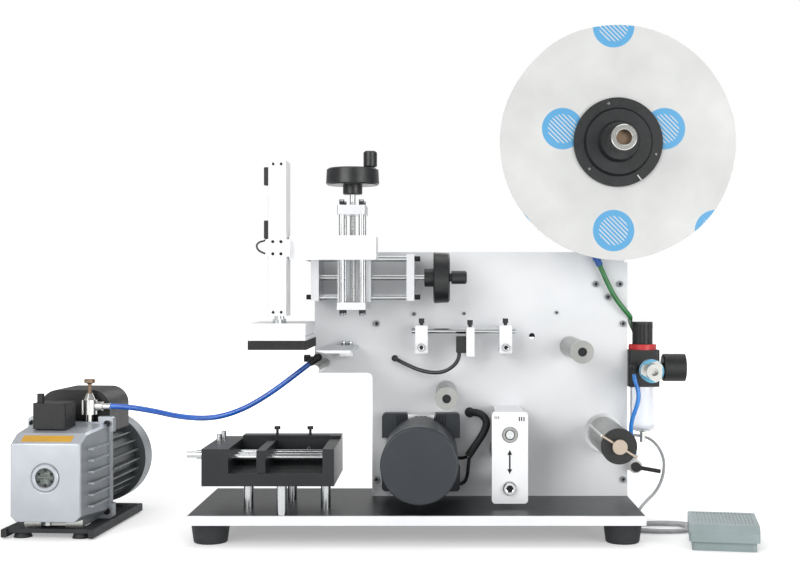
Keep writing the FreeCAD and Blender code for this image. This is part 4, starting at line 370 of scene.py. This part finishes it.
FINISHES = {
    "base_plate": lambda x, y, z, n: plate_top if abs(n.z) > 0.9 else plate_edge,
    "base_feet": black_rubber, "main_panel": panel_coat, "screws_and_glands": small_fasteners,
    "rear_cover": cover_coat, "reel_arm": silver_anodise, "reel_mandrel": reel_core,
    "reel_disc": sheet_finish, "reel_hub": wheel_plastic,
    "x_rail": lambda x, y, z, n: (black_oxide if x < -101.8 or x > 44.8 else
                                  silver_anodise if x < -90.6 or x > 33.6 else ground_steel),
    "xz_carriage": silver_anodise, "x_spindle": spindle(58.7, 0), "z_spindle": spindle(479.0, 2),
    "z_guide_rods": lambda x, y, z, n: ground_steel if 328 < z < 451 else black_oxide,
    "cross_beam": bright_anodise, "cylinder_body": bright_anodise, "reed_switches": black_plastic,
    "piston_rods": ground_steel, "suction_head": bright_anodise, "suction_pad": pad_rubber,
    "peel_plate": silver_anodise,
    "peel_roller": lambda x, y, z, n: white_nylon if y < -140.9 else roller_metal,
    "thumb_screws": black_plastic,
    "sensor_rail": lambda x, y, z, n: (bright_anodise if 45.2 < x < 63.4 or 167.2 < x < 185.4
                                       else ground_steel),
    "sensor_holder": lambda x, y, z, n: (black_plastic if x < 119 or z > 292.5 else bright_anodise),
    "drive_motor": lambda x, y, z, n: (motor_rim if -135 < y < -127 and abs(n.y) < 0.9 else motor_enamel),
    "motor_pulley": silver_anodise, "drive_belts": black_rubber,
    "spindles_and_bearings": lambda x, y, z, n: silver_anodise if x > 290 else black_oxide,
    "traction_frame": bright_anodise, "drive_roller": lambda x, y, z, n: (
        roller_rubber if -72.9 < y < 18.5 else black_oxide),
    "pinch_roller": roller_metal, "guide_roller_1": guide(-151.0), "guide_roller_2": guide(-125.0),
    "rewind_drum": rewinder, "fixture_body": fixture_black, "fixture_rods": ground_steel,
    "fixture_jaw": fixture_black, "fixture_screw": ground_steel,
    "regulator_body": regulator, "regulator_knob": black_plastic,
    "regulator_bowl": lambda x, y, z, n: nickel if z < 137.01 else bowl_clear,
    "air_fittings": fittings, "valve_lever": black_plastic,
    "pump_casing": pump_body, "pump_covers": black_plastic,
    "pump_motor": lambda x, y, z, n: fan_enamel if y > 134 else pump_fins,
    "pump_inlet": lambda x, y, z, n: aged_brass if z > 195 else nickel,
    "pump_frame": black_rubber, "pedal_base": pedal_grey, "pedal_cover": pedal_grey,
    "motor_leads": black_sheath,
}
for node_name, rule in FINISHES.items():
    paint(node_name, rule)


# ---- hoses and cables ------------------------------------------------------------------------
def run(name, points, diameter, finish, nodes,
        body="machine"):
    """A free hose or cable along its route's points, which are in mm."""
    curve = bpy.data.curves.new(name, "CURVE")
    curve.dimensions = "3D"
    curve.bevel_depth = diameter / 2
    curve.bevel_resolution = 5
    curve.resolution_u = 10
    curve.use_fill_caps = True
    line = curve.splines.new("NURBS")
    line.points.add(len(points) - 1)
    for knot, (x, y, z) in zip(line.points, points):
        knot.co = (x * MM, y * MM, z * MM, 1.0)
    line.order_u = 3
    line.use_endpoint_u = True
    curve.materials.append(finish)
    piece = bpy.data.objects.new(name, curve)
    bpy.context.scene.collection.objects.link(piece)
    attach(piece, body)
    if nodes:
        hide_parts(*nodes)
    return piece


def turned_about(point, x, y, yaw):
    """A point of a unit that is turned by a yaw and set down at (x, y)."""
    c, s = math.cos(math.radians(yaw)), math.sin(math.radians(yaw))
    px, py, pz = point
    return (x + px * c - py * s, y + px * s + py * c, pz)


pump_place = (-464.0, -102.0, -4.0)
barb_tip = turned_about((57.5, 102.0, 176.5), *pump_place)
barb_lead = turned_about((77.5, 102.0, 176.5), *pump_place)
vacuum_route = [barb_tip, barb_lead, (-340, -4, 170.5), (-298, 1, 160), (-252, 2.5, 157.5),
                (-209, 3.5, 170), (-168, 4, 194), (-131.6, 4, 221.3), (-109.6, 4, 238.4)]
green_route = [(315.8, 8, 382), (321.5, 8, 369), (330, 8, 350), (340, 8, 332), (352, 9, 317),
               (362.3, 15, 306), (362.8, 30, 301), (369.5, 44, 290), (378.5, 54, 273), (380.75, 57, 256),
               (380.75, 57, 241.5)]
sky_route = [(364, -7, 224), (364.6, -7, 214), (370, -7, 201), (370.5, -7, 186), (366, -6, 171),
             (361, -4, 157), (360, -1, 143.5), (361.5, 4, 133), (364.5, 9, 124.5), (367, 13.5, 117.5),
             (368, 16, 110.5), (368, 16, 104)]


def coil_turns(middle, straight, radii, points, rise):
    """Loose oval turns seen from above, wound clockwise and outwards, each a little unlike the last."""
    loose = random.Random(7)
    turns = []
    total = (len(radii) - 1) * points
    for i in range(total + 1):
        whole, part = divmod(i / points, 1.0)
        low, high = radii[int(whole)], radii[min(int(whole) + 1, len(radii) - 1)]
        radius = low + (high - low) * part + loose.uniform(-0.35, 0.35)
        angle = math.radians(180.0 - 360.0 * i / points)
        x = middle[0] + math.copysign(min(abs(math.cos(angle)) * 2.0, 1.0), math.cos(angle)) * straight
        turns.append((x + radius * math.cos(angle), middle[1] + radius * math.sin(angle),
                      rise + loose.uniform(0.0, 1.2)))
    return turns


pedal_route = ([(362, 55, 128), (377, 55, 128), (397.5, 52, 123), (409, 44, 110.3), (414.4, 33, 94.5),
                (412.5, 22, 80), (407, 10, 66), (395, -6, 51), (379, -21, 41), (368, -30, 31),
                (361.5, -34.5, 21), (358, -31, 11), (358.5, -24, 5)]
               + coil_turns((398, -18), 16, (21.0, 25.8, 30.4, 35.0, 39.3), 16, 2.3)
               + [(356.5, -2, 3), (372, 14, 3.2), (398, 21, 3), (424, 20.5, 3), (444, 8, 3.5),
                  (453.5, -12, 4.5), (456.3, -32, 6), (456.4, -43, 7), (454.9, -51.74, 7)])
sensor_route = [(109, -17, 255.5), (109, -17, 247), (101, -15, 235.5), (86, -11, 226.5), (68, -6, 225.5),
                (49, 0, 229.5), (33, 5, 236.5), (20.5, 7, 242.5), (14.5, 19, 245.3)]
motor_route = [(122.4, -2, 103.4), (130, -1, 115), (139, 0, 128), (147.5, 0, 142), (150, 1, 155),
               (142, 3, 164.5), (131, 8, 167), (125, 19, 165.4)]
run("vacuum_hose_tube", vacuum_route, 0.008, hose_blue, ["vacuum_hose"])
run("green_hose_tube", green_route, 0.0073, hose_green, ["green_hose"])
run("sky_hose_tube", sky_route, 0.0065, hose_sky, ["blue_hose"])
run("sensor_cable_sheath", sensor_route, 0.0056, black_sheath, ["sensor_cable"])
run("pedal_cable_sheath", pedal_route, 0.0044, grey_sheath, ["pedal_cable", "pedal_coil", "pedal_tail"])
run("motor_cable_sleeve", motor_route, 0.011, braided_black, ["motor_cable"])


# ---- small pieces ----------------------------------------------------------------------------
def group_tree(name, inputs):
    """An empty geometry tree with named inputs, and its input and output nodes."""
    tree = bpy.data.node_groups.new(name, "GeometryNodeTree")
    for label, kind in inputs:
        tree.interface.new_socket(label, in_out="INPUT", socket_type=kind)
    tree.interface.new_socket("Geometry", in_out="OUTPUT", socket_type="NodeSocketGeometry")
    return tree, tree.nodes.new("NodeGroupInput").outputs, tree.nodes.new("NodeGroupOutput").inputs


def baked(name, start, tree, values, body):
    """Runs a geometry tree on a mesh and keeps the result as one plain mesh that rides on a body."""
    holder = bpy.data.objects.new(name, start)
    bpy.context.scene.collection.objects.link(holder)
    change = holder.modifiers.new("make", "NODES")
    change.node_group = tree
    names = {item.name: item.identifier for item in tree.interface.items_tree if item.in_out == "INPUT"}
    for label, value in values.items():
        change[names[label]] = value
    graph = bpy.context.evaluated_depsgraph_get()
    mesh = bpy.data.meshes.new_from_object(holder.evaluated_get(graph), preserve_all_data_layers=True,
                                           depsgraph=graph)
    holder.modifiers.clear()
    holder.data = mesh
    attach(holder, body)
    return holder


def piece(name, bm, finishes, body, slot=None, smooth=True):
    """Keeps a bmesh as a piece that rides on a body."""
    bmesh.ops.remove_doubles(bm, verts=bm.verts, dist=1e-6)
    bmesh.ops.recalc_face_normals(bm, faces=bm.faces)
    mesh = bpy.data.meshes.new(name)
    bm.to_mesh(mesh)
    bm.free()
    for finish in finishes:
        mesh.materials.append(finish)
    for face in mesh.polygons:
        face.use_smooth = smooth
    if smooth:
        mesh.set_sharp_from_angle(angle=math.radians(32))
    made = bpy.data.objects.new(name, mesh)
    bpy.context.scene.collection.objects.link(made)
    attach(made, body)
    return made


def facing(axis):
    """A turn that takes +Z to an axis."""
    return Vector(axis).to_track_quat("Z", "Y").to_matrix().to_4x4()


def at(x, y, z, axis=(0, 0, 1)):
    """A place in mm whose local Z points along an axis."""
    return Matrix.Translation((x * MM, y * MM, z * MM)) @ facing(axis)


def ring_of(count, radius):
    """Points in a ring about the origin, from +X on."""
    turns = [math.tau * i / count for i in range(count)]
    return [(radius * math.cos(turn), radius * math.sin(turn)) for turn in turns]


def turned(name, profile, place, finish, body, slot, segments=48):
    """A closed turned piece: (radius, height) pairs in mm about the local Z of a place."""
    bm = bmesh.new()
    rings = []
    for radius, height in profile:
        spots = ring_of(segments, radius) if radius else [(0.0, 0.0)]
        rings.append([bm.verts.new(place @ Vector((x * MM, y * MM, height * MM))) for x, y in spots])
    for low, high in zip(rings, rings[1:] + rings[:1]):
        if len(low) == len(high) == 1:
            continue
        for i in range(segments):
            j = (i + 1) % segments
            corners = ([low[i], low[j], high[0]] if len(high) == 1 else
                       [low[0], high[j], high[i]] if len(low) == 1 else [low[i], low[j], high[j], high[i]])
            bm.faces.new(corners)
    piece(name, bm, [finish], body, slot)


def plate(name, loops, thickness, bevel, place, finish, body, slot=None):
    """A flat plate with rounded edges: outer and inner outlines in mm, standing on a place."""
    curve = bpy.data.curves.new(name, "CURVE")
    curve.dimensions = "2D"
    curve.fill_mode = "BOTH"
    for loop in loops:
        line = curve.splines.new("POLY")
        line.points.add(len(loop) - 1)
        for knot, (x, y) in zip(line.points, loop):
            knot.co = (x * MM, y * MM, 0.0, 1.0)
        line.use_cyclic_u = True
    curve.extrude = (thickness / 2 - bevel) * MM
    curve.bevel_depth = bevel * MM
    curve.bevel_resolution = 3
    curve.offset = -bevel * MM
    flat = bpy.data.objects.new(name, curve)
    bpy.context.scene.collection.objects.link(flat)
    graph = bpy.context.evaluated_depsgraph_get()
    mesh = bpy.data.meshes.new_from_object(flat.evaluated_get(graph))
    bpy.data.objects.remove(flat)
    mesh.transform(place @ Matrix.Translation((0, 0, thickness / 2 * MM)))
    bm = bmesh.new()
    bm.from_mesh(mesh)
    return piece(name, bm, [finish], body, slot)


def screw_head():
    """A socket head one unit across: rim, chamfer and a hexagonal recess, whose faces are marked to take a
    near-black painted shade.
    """
    bm = bmesh.new()
    sides, corners = 24, 6
    share = sides // corners

    def ring(radius, height, count):
        return [bm.verts.new((x, y, height)) for x, y in ring_of(count, radius)]

    rim = [ring(radius, height, sides) for radius, height in
           ((0.515, -0.1), (0.515, 0.2), (0.46, 0.27), (0.3, 0.27))]
    for low, high in zip(rim, rim[1:]):
        for i in range(sides):
            j = (i + 1) % sides
            bm.faces.new([low[i], low[j], high[j], high[i]])
    mouth = ring(0.285, 0.25, corners)
    bottom = ring(0.285, 0.02, corners)
    for k in range(corners):
        after = (k + 1) % corners
        fan = [rim[-1][i % sides] for i in range(k * share, (k + 1) * share + 1)]
        bm.faces.new(fan + [mouth[after], mouth[k]])
        bm.faces.new([mouth[k], mouth[after], bottom[after], bottom[k]]).material_index = 1
    bm.faces.new(bottom).material_index = 1
    bm.faces.new(list(reversed(rim[0])))
    bmesh.ops.recalc_face_normals(bm, faces=bm.faces)
    recess = bm.faces.layers.bool.new("recess")
    for face in bm.faces:
        face[recess] = face.material_index == 1
        face.material_index = 0
    mesh = bpy.data.meshes.new("screw head")
    bm.to_mesh(mesh)
    bm.free()
    return bpy.data.objects.new("screw head", mesh)


def screw_tree():
    """Puts a screw head on every point, turned and sized by the point's own values, with a near-black painted
    shade on the recess faces.
    """
    tree, given, result = group_tree("socket screws", [
        ("Geometry", "NodeSocketGeometry"), ("Head", "NodeSocketObject"), ("Finish", "NodeSocketMaterial"),
        ("Recess painted shade", "NodeSocketMaterial"), ("Size factor", "NodeSocketFloat")])
    new, link = tree.nodes.new, tree.links.new

    def named(label, kind):
        node = new("GeometryNodeInputNamedAttribute")
        node.data_type = kind
        node.inputs["Name"].default_value = label
        return node.outputs["Attribute"]

    head = new("GeometryNodeObjectInfo")
    link(given["Head"], head.inputs["Object"])
    place = new("GeometryNodeInstanceOnPoints")
    link(given["Geometry"], place.inputs["Points"])
    link(head.outputs["Geometry"], place.inputs["Instance"])
    link(named("turn", "FLOAT_VECTOR"), place.inputs["Rotation"])
    size = new("ShaderNodeMath")
    size.operation = "MULTIPLY"
    link(named("girth", "FLOAT"), size.inputs[0])
    link(given["Size factor"], size.inputs[1])
    link(size.outputs[0], place.inputs["Scale"])
    whole = new("GeometryNodeRealizeInstances")
    link(place.outputs["Instances"], whole.inputs["Geometry"])
    # The recess faces get a second finish, a near-black painted shade.
    coat, inside = new("GeometryNodeSetMaterial"), new("GeometryNodeSetMaterial")
    link(whole.outputs["Geometry"], coat.inputs["Geometry"])
    link(given["Finish"], coat.inputs["Material"])
    link(coat.outputs["Geometry"], inside.inputs["Geometry"])
    link(given["Recess painted shade"], inside.inputs["Material"])
    link(named("recess", "BOOLEAN"), inside.inputs["Selection"])
    link(inside.outputs["Geometry"], result["Geometry"])
    return tree


socket_head = screw_head()
socket_tree = screw_tree()
# A near-black painted shade for the inside of socket recesses, also used on the nose key and the sight holes.
recess_painted_shade = moulded("screw recess painted shade", "#0b0b0c", "#060607", 0.6)


def screws(name, places, finish, body):
    """Socket screws at (point on the head's face, outward axis, diameter)."""
    points = bpy.data.meshes.new(name)
    points.from_pydata([tuple(c * MM for c in p) for p, axis, d in places], [], [])
    points.attributes.new("turn", "FLOAT_VECTOR", "POINT")
    points.attributes.new("girth", "FLOAT", "POINT")
    for i, (p, axis, d) in enumerate(places):
        points.attributes["turn"].data[i].vector = facing(axis).to_euler()
        points.attributes["girth"].data[i].value = d * MM
    baked(name, points, socket_tree, {"Head": socket_head, "Finish": finish, "Recess painted shade": recess_painted_shade,
                                      "Size factor": 1.0}, body)


front, up, down, left, right = (0, -1, 0), (0, 0, 1), (0, 0, -1), (-1, 0, 0), (1, 0, 0)
panel_places = [(311.3, 354.9, 9), (346.7, 354.9, 9), (329, 335.7, 9), (351.5, 296.5, 9), (351.5, 66.5, 9),
                (-12.5, 296.5, 9), (-12.5, 66.5, 9), (253.2, 312.8, 5), (116.6, 311.3, 5), (42.7, 310.6, 6)]
screws("panel_screws", [((x, 17.4, z), front, d) for x, z, d in panel_places], screw_steel, "machine")
screws("bright_screws", [((x, -24, 263), front, 11) for x in (54.3, 176.3)]
       + [((178.4, -85, 69.2), front, 17.5)] + [((x, -23, 117), front, 6.6) for x in (-156, -108)]
       + [((-232, y, 140), up, 7) for y in (-55, -16)] + [((x, 10, 269), up, 7) for x in (-61, -51)],
       ground_steel, "machine")
screws("slide_bolts", [((x, y, z), way, 7) for x, way in ((-107.7, left), (50.7, right))
                       for y in (-42, -12) for z in (336, 391)], black_oxide, "machine")
screws("upright_bolts", [((x, y, z), way, 7) for z, way in ((469, up), (313, down))
                         for x in (-54, -27) for y in (-108, -66)], screw_steel, "carriage")
screws("clamp_screws", [((x, -130.2, z), front, 4.2) for x in (-146, -135) for z in (412, 395.5)]
       + [((x, -127.2, z), front, 3.6) for x in (-146, -135) for z in (316, 518)],
       black_oxide, "beam")
hub_turns = [math.radians(degrees) for degrees in (104, -18, 223)]
screws("hub_screws", [((reel_x + 55 * math.cos(turn), -91.2, reel_z + 55 * math.sin(turn)), front, 3.6)
                      for turn in hub_turns], ground_steel, "reel")
pump_bolts = [turned_about((side * 55.5, 93.5, z), *pump_place) for side in (-1, 1) for z in (25, 152)]
pump_front = tuple(turned_about((0, -1, 0), 0, 0, pump_place[2]))
screws("pump_bolts", [(p, pump_front, 9.5) for p in pump_bolts], black_oxide, "machine")


def thread_tree():
    """A ridge wound round a spindle."""
    tree, given, result = group_tree("screw thread", [
        ("Geometry", "NodeSocketGeometry"), ("Turns", "NodeSocketFloat"), ("Radius", "NodeSocketFloat"),
        ("Length", "NodeSocketFloat"), ("Ridge", "NodeSocketFloat"), ("Finish", "NodeSocketMaterial")])
    new, link = tree.nodes.new, tree.links.new
    helix = new("GeometryNodeCurveSpiral")
    helix.inputs["Resolution"].default_value = 14
    for label, source in (("Rotations", "Turns"), ("Start Radius", "Radius"), ("End Radius", "Radius"),
                          ("Height", "Length")):
        link(given[source], helix.inputs[label])
    edge = new("GeometryNodeCurvePrimitiveCircle")
    edge.inputs["Resolution"].default_value = 4
    link(given["Ridge"], edge.inputs["Radius"])
    body = new("GeometryNodeCurveToMesh")
    body.inputs["Fill Caps"].default_value = True
    link(helix.outputs["Curve"], body.inputs["Curve"])
    link(edge.outputs["Curve"], body.inputs["Profile Curve"])
    whole, coat = new("GeometryNodeRealizeInstances"), new("GeometryNodeSetMaterial")
    link(body.outputs["Mesh"], whole.inputs["Geometry"])
    link(whole.outputs["Geometry"], coat.inputs["Geometry"])
    link(given["Finish"], coat.inputs["Material"])
    link(coat.outputs["Geometry"], result["Geometry"])
    return tree


thread_maker = thread_tree()
thread_bronze = satin_metal("lead screw steel", "#8d867c", "#6f695f", 0.3)


def thread(name, place, diameter, length, pitch, body):
    """A lead screw's thread along the local Z of a place, in mm."""
    made = baked(name, bpy.data.meshes.new(name), thread_maker,
                 {"Turns": length / pitch, "Radius": (diameter / 2 - 0.05) * MM, "Length": length * MM,
                  "Ridge": 0.32 * MM, "Finish": thread_bronze}, body)
    made.data.transform(place)


thread("x_thread", at(-90, -27, 364, right), 8, 123, 2.0, "x_wheel")
thread("z_thread", at(-40.5, -87, 329, up), 8, 121, 2.0, "z_wheel")
thread("jaw_thread", at(-203, -72, 115, right), 8, 125, 2.0, "jaw_screw")


def slat_tree():
    """A row of bars along X."""
    tree, given, result = group_tree("row of bars", [
        ("Geometry", "NodeSocketGeometry"), ("Count", "NodeSocketInt"), ("Pitch", "NodeSocketFloat"),
        ("Bar size", "NodeSocketVector"), ("Finish", "NodeSocketMaterial")])
    new, link = tree.nodes.new, tree.links.new
    row, bar = new("GeometryNodeMeshLine"), new("GeometryNodeMeshCube")
    link(given["Count"], row.inputs["Count"])
    step = new("ShaderNodeCombineXYZ")
    link(given["Pitch"], step.inputs["X"])
    link(step.outputs["Vector"], row.inputs["Offset"])
    link(given["Bar size"], bar.inputs["Size"])
    place = new("GeometryNodeInstanceOnPoints")
    link(row.outputs["Mesh"], place.inputs["Points"])
    link(bar.outputs["Mesh"], place.inputs["Instance"])
    whole, coat = new("GeometryNodeRealizeInstances"), new("GeometryNodeSetMaterial")
    link(place.outputs["Instances"], whole.inputs["Geometry"])
    link(whole.outputs["Geometry"], coat.inputs["Geometry"])
    link(given["Finish"], coat.inputs["Material"])
    link(coat.outputs["Geometry"], result["Geometry"])
    return tree


bar_maker = slat_tree()


def bars(name, start, count, pitch, size, finish, body):
    """A row of like bars along X from the middle of the first one, in mm."""
    values = {"Count": count, "Pitch": pitch * MM, "Bar size": tuple(c * MM for c in size), "Finish": finish}
    made = baked(name, bpy.data.meshes.new(name), bar_maker, values, body)
    made.data.transform(Matrix.Translation(tuple(c * MM for c in start)))


bars("vents_left", (19, -3.6, 156), 4, 4.2, (1.8, 1.8, 15), black_oxide, "machine")
bars("vents_right", (76, -3.6, 156), 4, 4.2, (1.8, 1.8, 15), black_oxide, "machine")
plate("terminal_cover", [[(-19, -4), (19, -4), (19, 4), (-19, 4)]], 9, 1.0, at(53.3, 5, 160.6, front),
      silver_anodise, "machine", "drive_motor")
bars("terminal_pins", (46.5, -4.4, 161), 3, 6.8, (2.6, 1.2, 2.6), black_plastic, "machine")

# Marks engraved on the traction plate: ticks by the upper roller and a two-headed arrow between the rollers.
bars("plate_ticks_left", (158, -83.1, 168), 3, 2.6, (1.0, 0.3, 4.0), black_oxide, "machine")
bars("plate_ticks_right", (192, -83.1, 166), 3, 3.2, (1.6, 0.3, 6.0), black_oxide, "machine")
arrow = [(0, 17), (3.4, 10), (1.1, 10), (1.1, -10), (3.4, -10), (0, -17), (-3.4, -10), (-1.1, -10),
         (-1.1, 10), (-3.4, 10)]
plate("plate_arrow", [arrow], 0.5, 0.1, at(178.6, -82.9, 106, front), black_oxide, "machine",
      "traction_frame")

# Roller ends on the traction plate.
roller_end = at(drive_x, -83, drive_z, front)
turned("bearing_ring_front", [(6.6, -0.5), (6.6, 1.4), (7.2, 2.0), (10.2, 2.0), (10.9, 1.3), (10.9, -0.5)],
       roller_end, roller_metal, "machine", "spindles_and_bearings")
turned("drive_roller_end", [(0, 1.0), (2.6, 1.0), (3.0, 2.4), (5.6, 2.4), (6.2, 1.8), (6.2, -0.4), (0, -0.4)],
       roller_end, ground_steel, "drive_roll", "drive_roller")


# ---- reel --------------------------------------------------------------------------------------
def reel_sheet():
    """The milky film face of the reel: a thin disc that waves a little and isn't quite round."""
    bm = bmesh.new()
    loose = random.Random(3)
    waves = [(k, loose.uniform(0, math.tau), loose.uniform(0.2, 0.9)) for k in (2, 3, 5, 7, 9)]
    count = 144
    radii = [10.4, 30, 52, 75, 95, 112, 128, 142, 153, 161, 165.0]
    front_y, thickness, still_radius, loose_width = -86.8, 3.4, 60, 106
    sides = []
    for depth in (0.0, thickness):
        rings = []
        for radius in radii:
            share = max(0.0, (radius - still_radius) / loose_width)
            ring = []
            for i in range(count):
                angle = math.tau * i / count
                sway = sum(size * math.sin(k * angle + turn) for k, turn, size in waves)
                out = radius + (0.5 * sway - 0.9) * share ** 4
                back = front_y + depth + 0.28 * sway * share * (1 - depth / 8)
                ring.append(bm.verts.new(((reel_x + out * math.cos(angle)) * MM, back * MM,
                                          (reel_z + out * math.sin(angle)) * MM)))
            rings.append(ring)
        sides.append(rings)
    near, far = sides
    for rings, flip in ((near, False), (far, True)):
        for low, high in zip(rings, rings[1:]):
            for i in range(count):
                j = (i + 1) % count
                corners = [low[i], low[j], high[j], high[i]]
                bm.faces.new(corners[::-1] if flip else corners)
    for a, b in ((near[-1], far[-1]), (far[0], near[0])):
        for i in range(count):
            j = (i + 1) % count
            bm.faces.new([a[i], a[j], b[j], b[i]])
    made = piece("reel_film", bm, [sheet_finish], "reel", "reel_disc")
    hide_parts("reel_disc")


reel_sheet()
turned("nose_rim", [(10.6, -0.3), (10.6, 1.2), (11.4, 1.8), (16.4, 1.8), (17.7, 0.8), (17.7, -0.3)],
       at(reel_x, -147, reel_z, front), nickel, "reel", "reel_mandrel")
# The key on the nose is a thin plate in the near-black painted shade of the screw recesses.
key_turn = Matrix.Rotation(math.radians(-28), 4, "Z")
plate("nose_key", [[(-1.6, 8.2), (1.6, 8.2), (1.6, 12.4), (-1.6, 12.4)]], 1.6, 0.3,
      at(reel_x, -145.2, reel_z, front) @ key_turn, recess_painted_shade, "reel", "reel_mandrel")
pin_turn, pin_lean, pin_radius = math.radians(-60), math.radians(-52), 53
turned("hub_pin", [(0, 0), (1.5, 0), (1.5, 8.0), (1.0, 8.6), (0, 8.6)],
       at(reel_x + pin_radius * math.cos(pin_turn), -92.0, reel_z + pin_radius * math.sin(pin_turn),
          (math.cos(pin_lean), 0, math.sin(pin_lean))), ground_steel, "reel", "reel_hub", 16)


# ---- pump front --------------------------------------------------------------------------------
pump_turn = Matrix.Translation((pump_place[0] * MM, pump_place[1] * MM, 0)) @ Matrix.Rotation(
    math.radians(pump_place[2]), 4, "Z")
nose = [(-41.5, 25.3), (41.5, 25.3), (49.6, 33.4), (49.6, 131.8), (46.6, 134.9), (-46.6, 134.9),
        (-49.6, 131.8), (-49.6, 33.4)]
sight = [(x, sight_z + z) for x, z in ring_of(64, 19.3)]
sight_place = pump_turn @ at(0, 0, sight_z, front)
plate("nose_cover", [nose, sight], 7.0, 2.2, pump_turn @ at(0, 5.4, 0, front), pump_enamel, "machine",
      "pump_casing")
turned("sight_rim", [(13.6, -3), (13.6, 2.6), (14.6, 3.4), (17.6, 3.4), (19.2, 2.0), (19.2, -3)],
       sight_place, pump_enamel, "machine", "pump_casing")
petal_count, petal_reach, petal_dip = 6, 11.8, 3.4
petal_turns = [math.radians(60 * k + 90) for k in range(petal_count)]
petals = []
for middle in petal_turns:
    for step in range(-5, 6):
        turn = middle + math.radians(6 * step)
        reach = petal_reach - petal_dip * math.cos(math.radians(90 * step / 5))
        petals.append((reach * math.cos(turn), sight_z + reach * math.sin(turn)))
sight_glass = moulded("sight glass", "#aeb8b2", "#97a19b", 0.18, 300.0, 0.02)
sight_dark = moulded("sight glass ring", "#4b5352", "#3c4342", 0.3)
plate("sight_petals", [petals], 1.6, 0.4, pump_turn @ at(0, 1.2, 0, front), sight_glass, "machine",
      "pump_casing")
turned("sight_back", [(0, -1), (0, 0.4), (13.7, 0.4), (13.7, -1)], sight_place, sight_dark, "machine",
       "pump_casing")
# The holes round the sight glass are drawn as near-black screw heads: painted shade where the holes are.
hole_radius = 10.6
holes = [(hole_radius * math.cos(turn), -0.5, sight_z + hole_radius * math.sin(turn)) for turn in petal_turns]
screws("sight_holes", [(turned_about(hole, *pump_place), pump_front, 3.4) for hole in holes], recess_painted_shade,
       "machine")

# A bare amber band on the sloping top of the pump's case.
bm = bmesh.new()
top_low, top_high, top_depth = 134.6, 146.0, 22.0
slope = (top_high - top_low) / top_depth
for x in (-36.0, 35.0):
    for y in (3.0, 15.5):
        for rise in (-0.3, 0.7):
            bm.verts.new(pump_turn @ Vector((x * MM, y * MM, (top_low + slope * y + rise) * MM)))
bmesh.ops.convex_hull(bm, input=bm.verts)
piece("amber_band", bm, [amber_strip], "machine", "pump_casing", smooth=False)


# ---- lead of the upper reed switch -------------------------------------------------------------
switch_route = [(-156.5, -113.5, 417), (-159, -114, 413.5), (-166, -115, 412.5), (-170.5, -116, 408),
                (-169, -117, 402), (-163, -117, 397.5), (-156, -116, 395.5)]
run("switch_lead", switch_route, 0.0026, black_sheath, [], body="beam")


# ---- light, floor and camera -----------------------------------------------------------------
def plain_ground():
    """A pale floor that keeps soft shadows near the machine and turns white further out."""
    made = Finish("pale floor")
    made.set(Base_Color=(0.8, 0.8, 0.8, 1.0), Roughness=0.9, Specular_IOR_Level=0.1)
    path = made.node("ShaderNodeLightPath")
    seen = made.maths("MAXIMUM", path.outputs["Is Camera Ray"], path.outputs["Is Glossy Ray"])
    far = made.node("ShaderNodeVectorMath", {0: made.place}, operation="LENGTH").outputs["Value"]
    glow = made.ramp(far, 0.55, 1.5, 0.34, 1.0)
    made.set(Emission_Color=(1.0, 1.0, 1.0, 1.0), Emission_Strength=made.maths("MULTIPLY", seen, glow))
    return made.material


def stage_set():
    """The floor: a large square with the pale floor finish."""
    mesh = bpy.data.meshes.new("floor")
    reach = 9.0
    corners = [(-reach, -reach), (reach, -reach), (reach, reach), (-reach, reach)]
    mesh.from_pydata([(x, y, 0.0) for x, y in corners], [], [(0, 1, 2, 3)])
    floor = bpy.data.objects.new("floor", mesh)
    mesh.materials.append(plain_ground())
    bpy.context.scene.collection.objects.link(floor)


def softbox(name, place, aim, width, height, power):
    """A soft rectangular lamp that faces a point."""
    lamp = bpy.data.lights.new(name, "AREA")
    lamp.shape = "RECTANGLE"
    lamp.size, lamp.size_y, lamp.energy = width, height, power
    made = bpy.data.objects.new(name, lamp)
    made.location = place
    made.rotation_euler = (Vector(aim) - Vector(place)).to_track_quat("-Z", "Y").to_euler()
    bpy.context.scene.collection.objects.link(made)


def studio():
    """A white world and four softboxes."""
    world = bpy.data.worlds.new("studio")
    bpy.context.scene.world = world
    world.use_nodes = True
    nodes, links = world.node_tree.nodes, world.node_tree.links
    back = nodes["Background"]
    path = nodes.new("ShaderNodeLightPath")
    seen = nodes.new("ShaderNodeMath")
    seen.operation = "MAXIMUM"
    links.new(path.outputs["Is Camera Ray"], seen.inputs[0])
    links.new(path.outputs["Is Transmission Ray"], seen.inputs[1])
    level = nodes.new("ShaderNodeMapRange")
    level.inputs["To Min"].default_value = 0.55
    level.inputs["To Max"].default_value = 1.0
    links.new(seen.outputs[0], level.inputs["Value"])
    links.new(level.outputs["Result"], back.inputs["Strength"])
    back.inputs["Color"].default_value = (1.0, 1.0, 1.0, 1.0)
    softbox("key", (-1.3, -2.2, 1.3), (0.0, 0.0, 0.25), 1.6, 1.6, 40.0)
    softbox("fill", (1.7, -2.0, 0.6), (0.05, 0.0, 0.2), 1.4, 1.2, 24.0)
    softbox("top", (0.0, 0.1, 2.4), (0.0, 0.0, 0.2), 2.2, 1.4, 15.0)
    softbox("back", (0.6, 1.9, 1.4), (0.0, 0.0, 0.3), 1.4, 1.0, 10.0)
    bpy.context.scene.view_settings.view_transform = "Standard"


def operator_view():
    """The camera straight in front of the machine."""
    lens = bpy.data.cameras.new("camera")
    lens.sensor_width, lens.lens = 36.0, 56.85
    lens.shift_x, lens.shift_y = -0.05075, -0.00375
    lens.clip_end = 60.0
    made = bpy.data.objects.new("camera", lens)
    made.location = (0.082, -1.847, 0.349)
    made.rotation_euler = (math.radians(90.0), 0.0, 0.0)
    bpy.context.scene.collection.objects.link(made)
    bpy.context.scene.camera = made


stage_set()
studio()
operator_view()
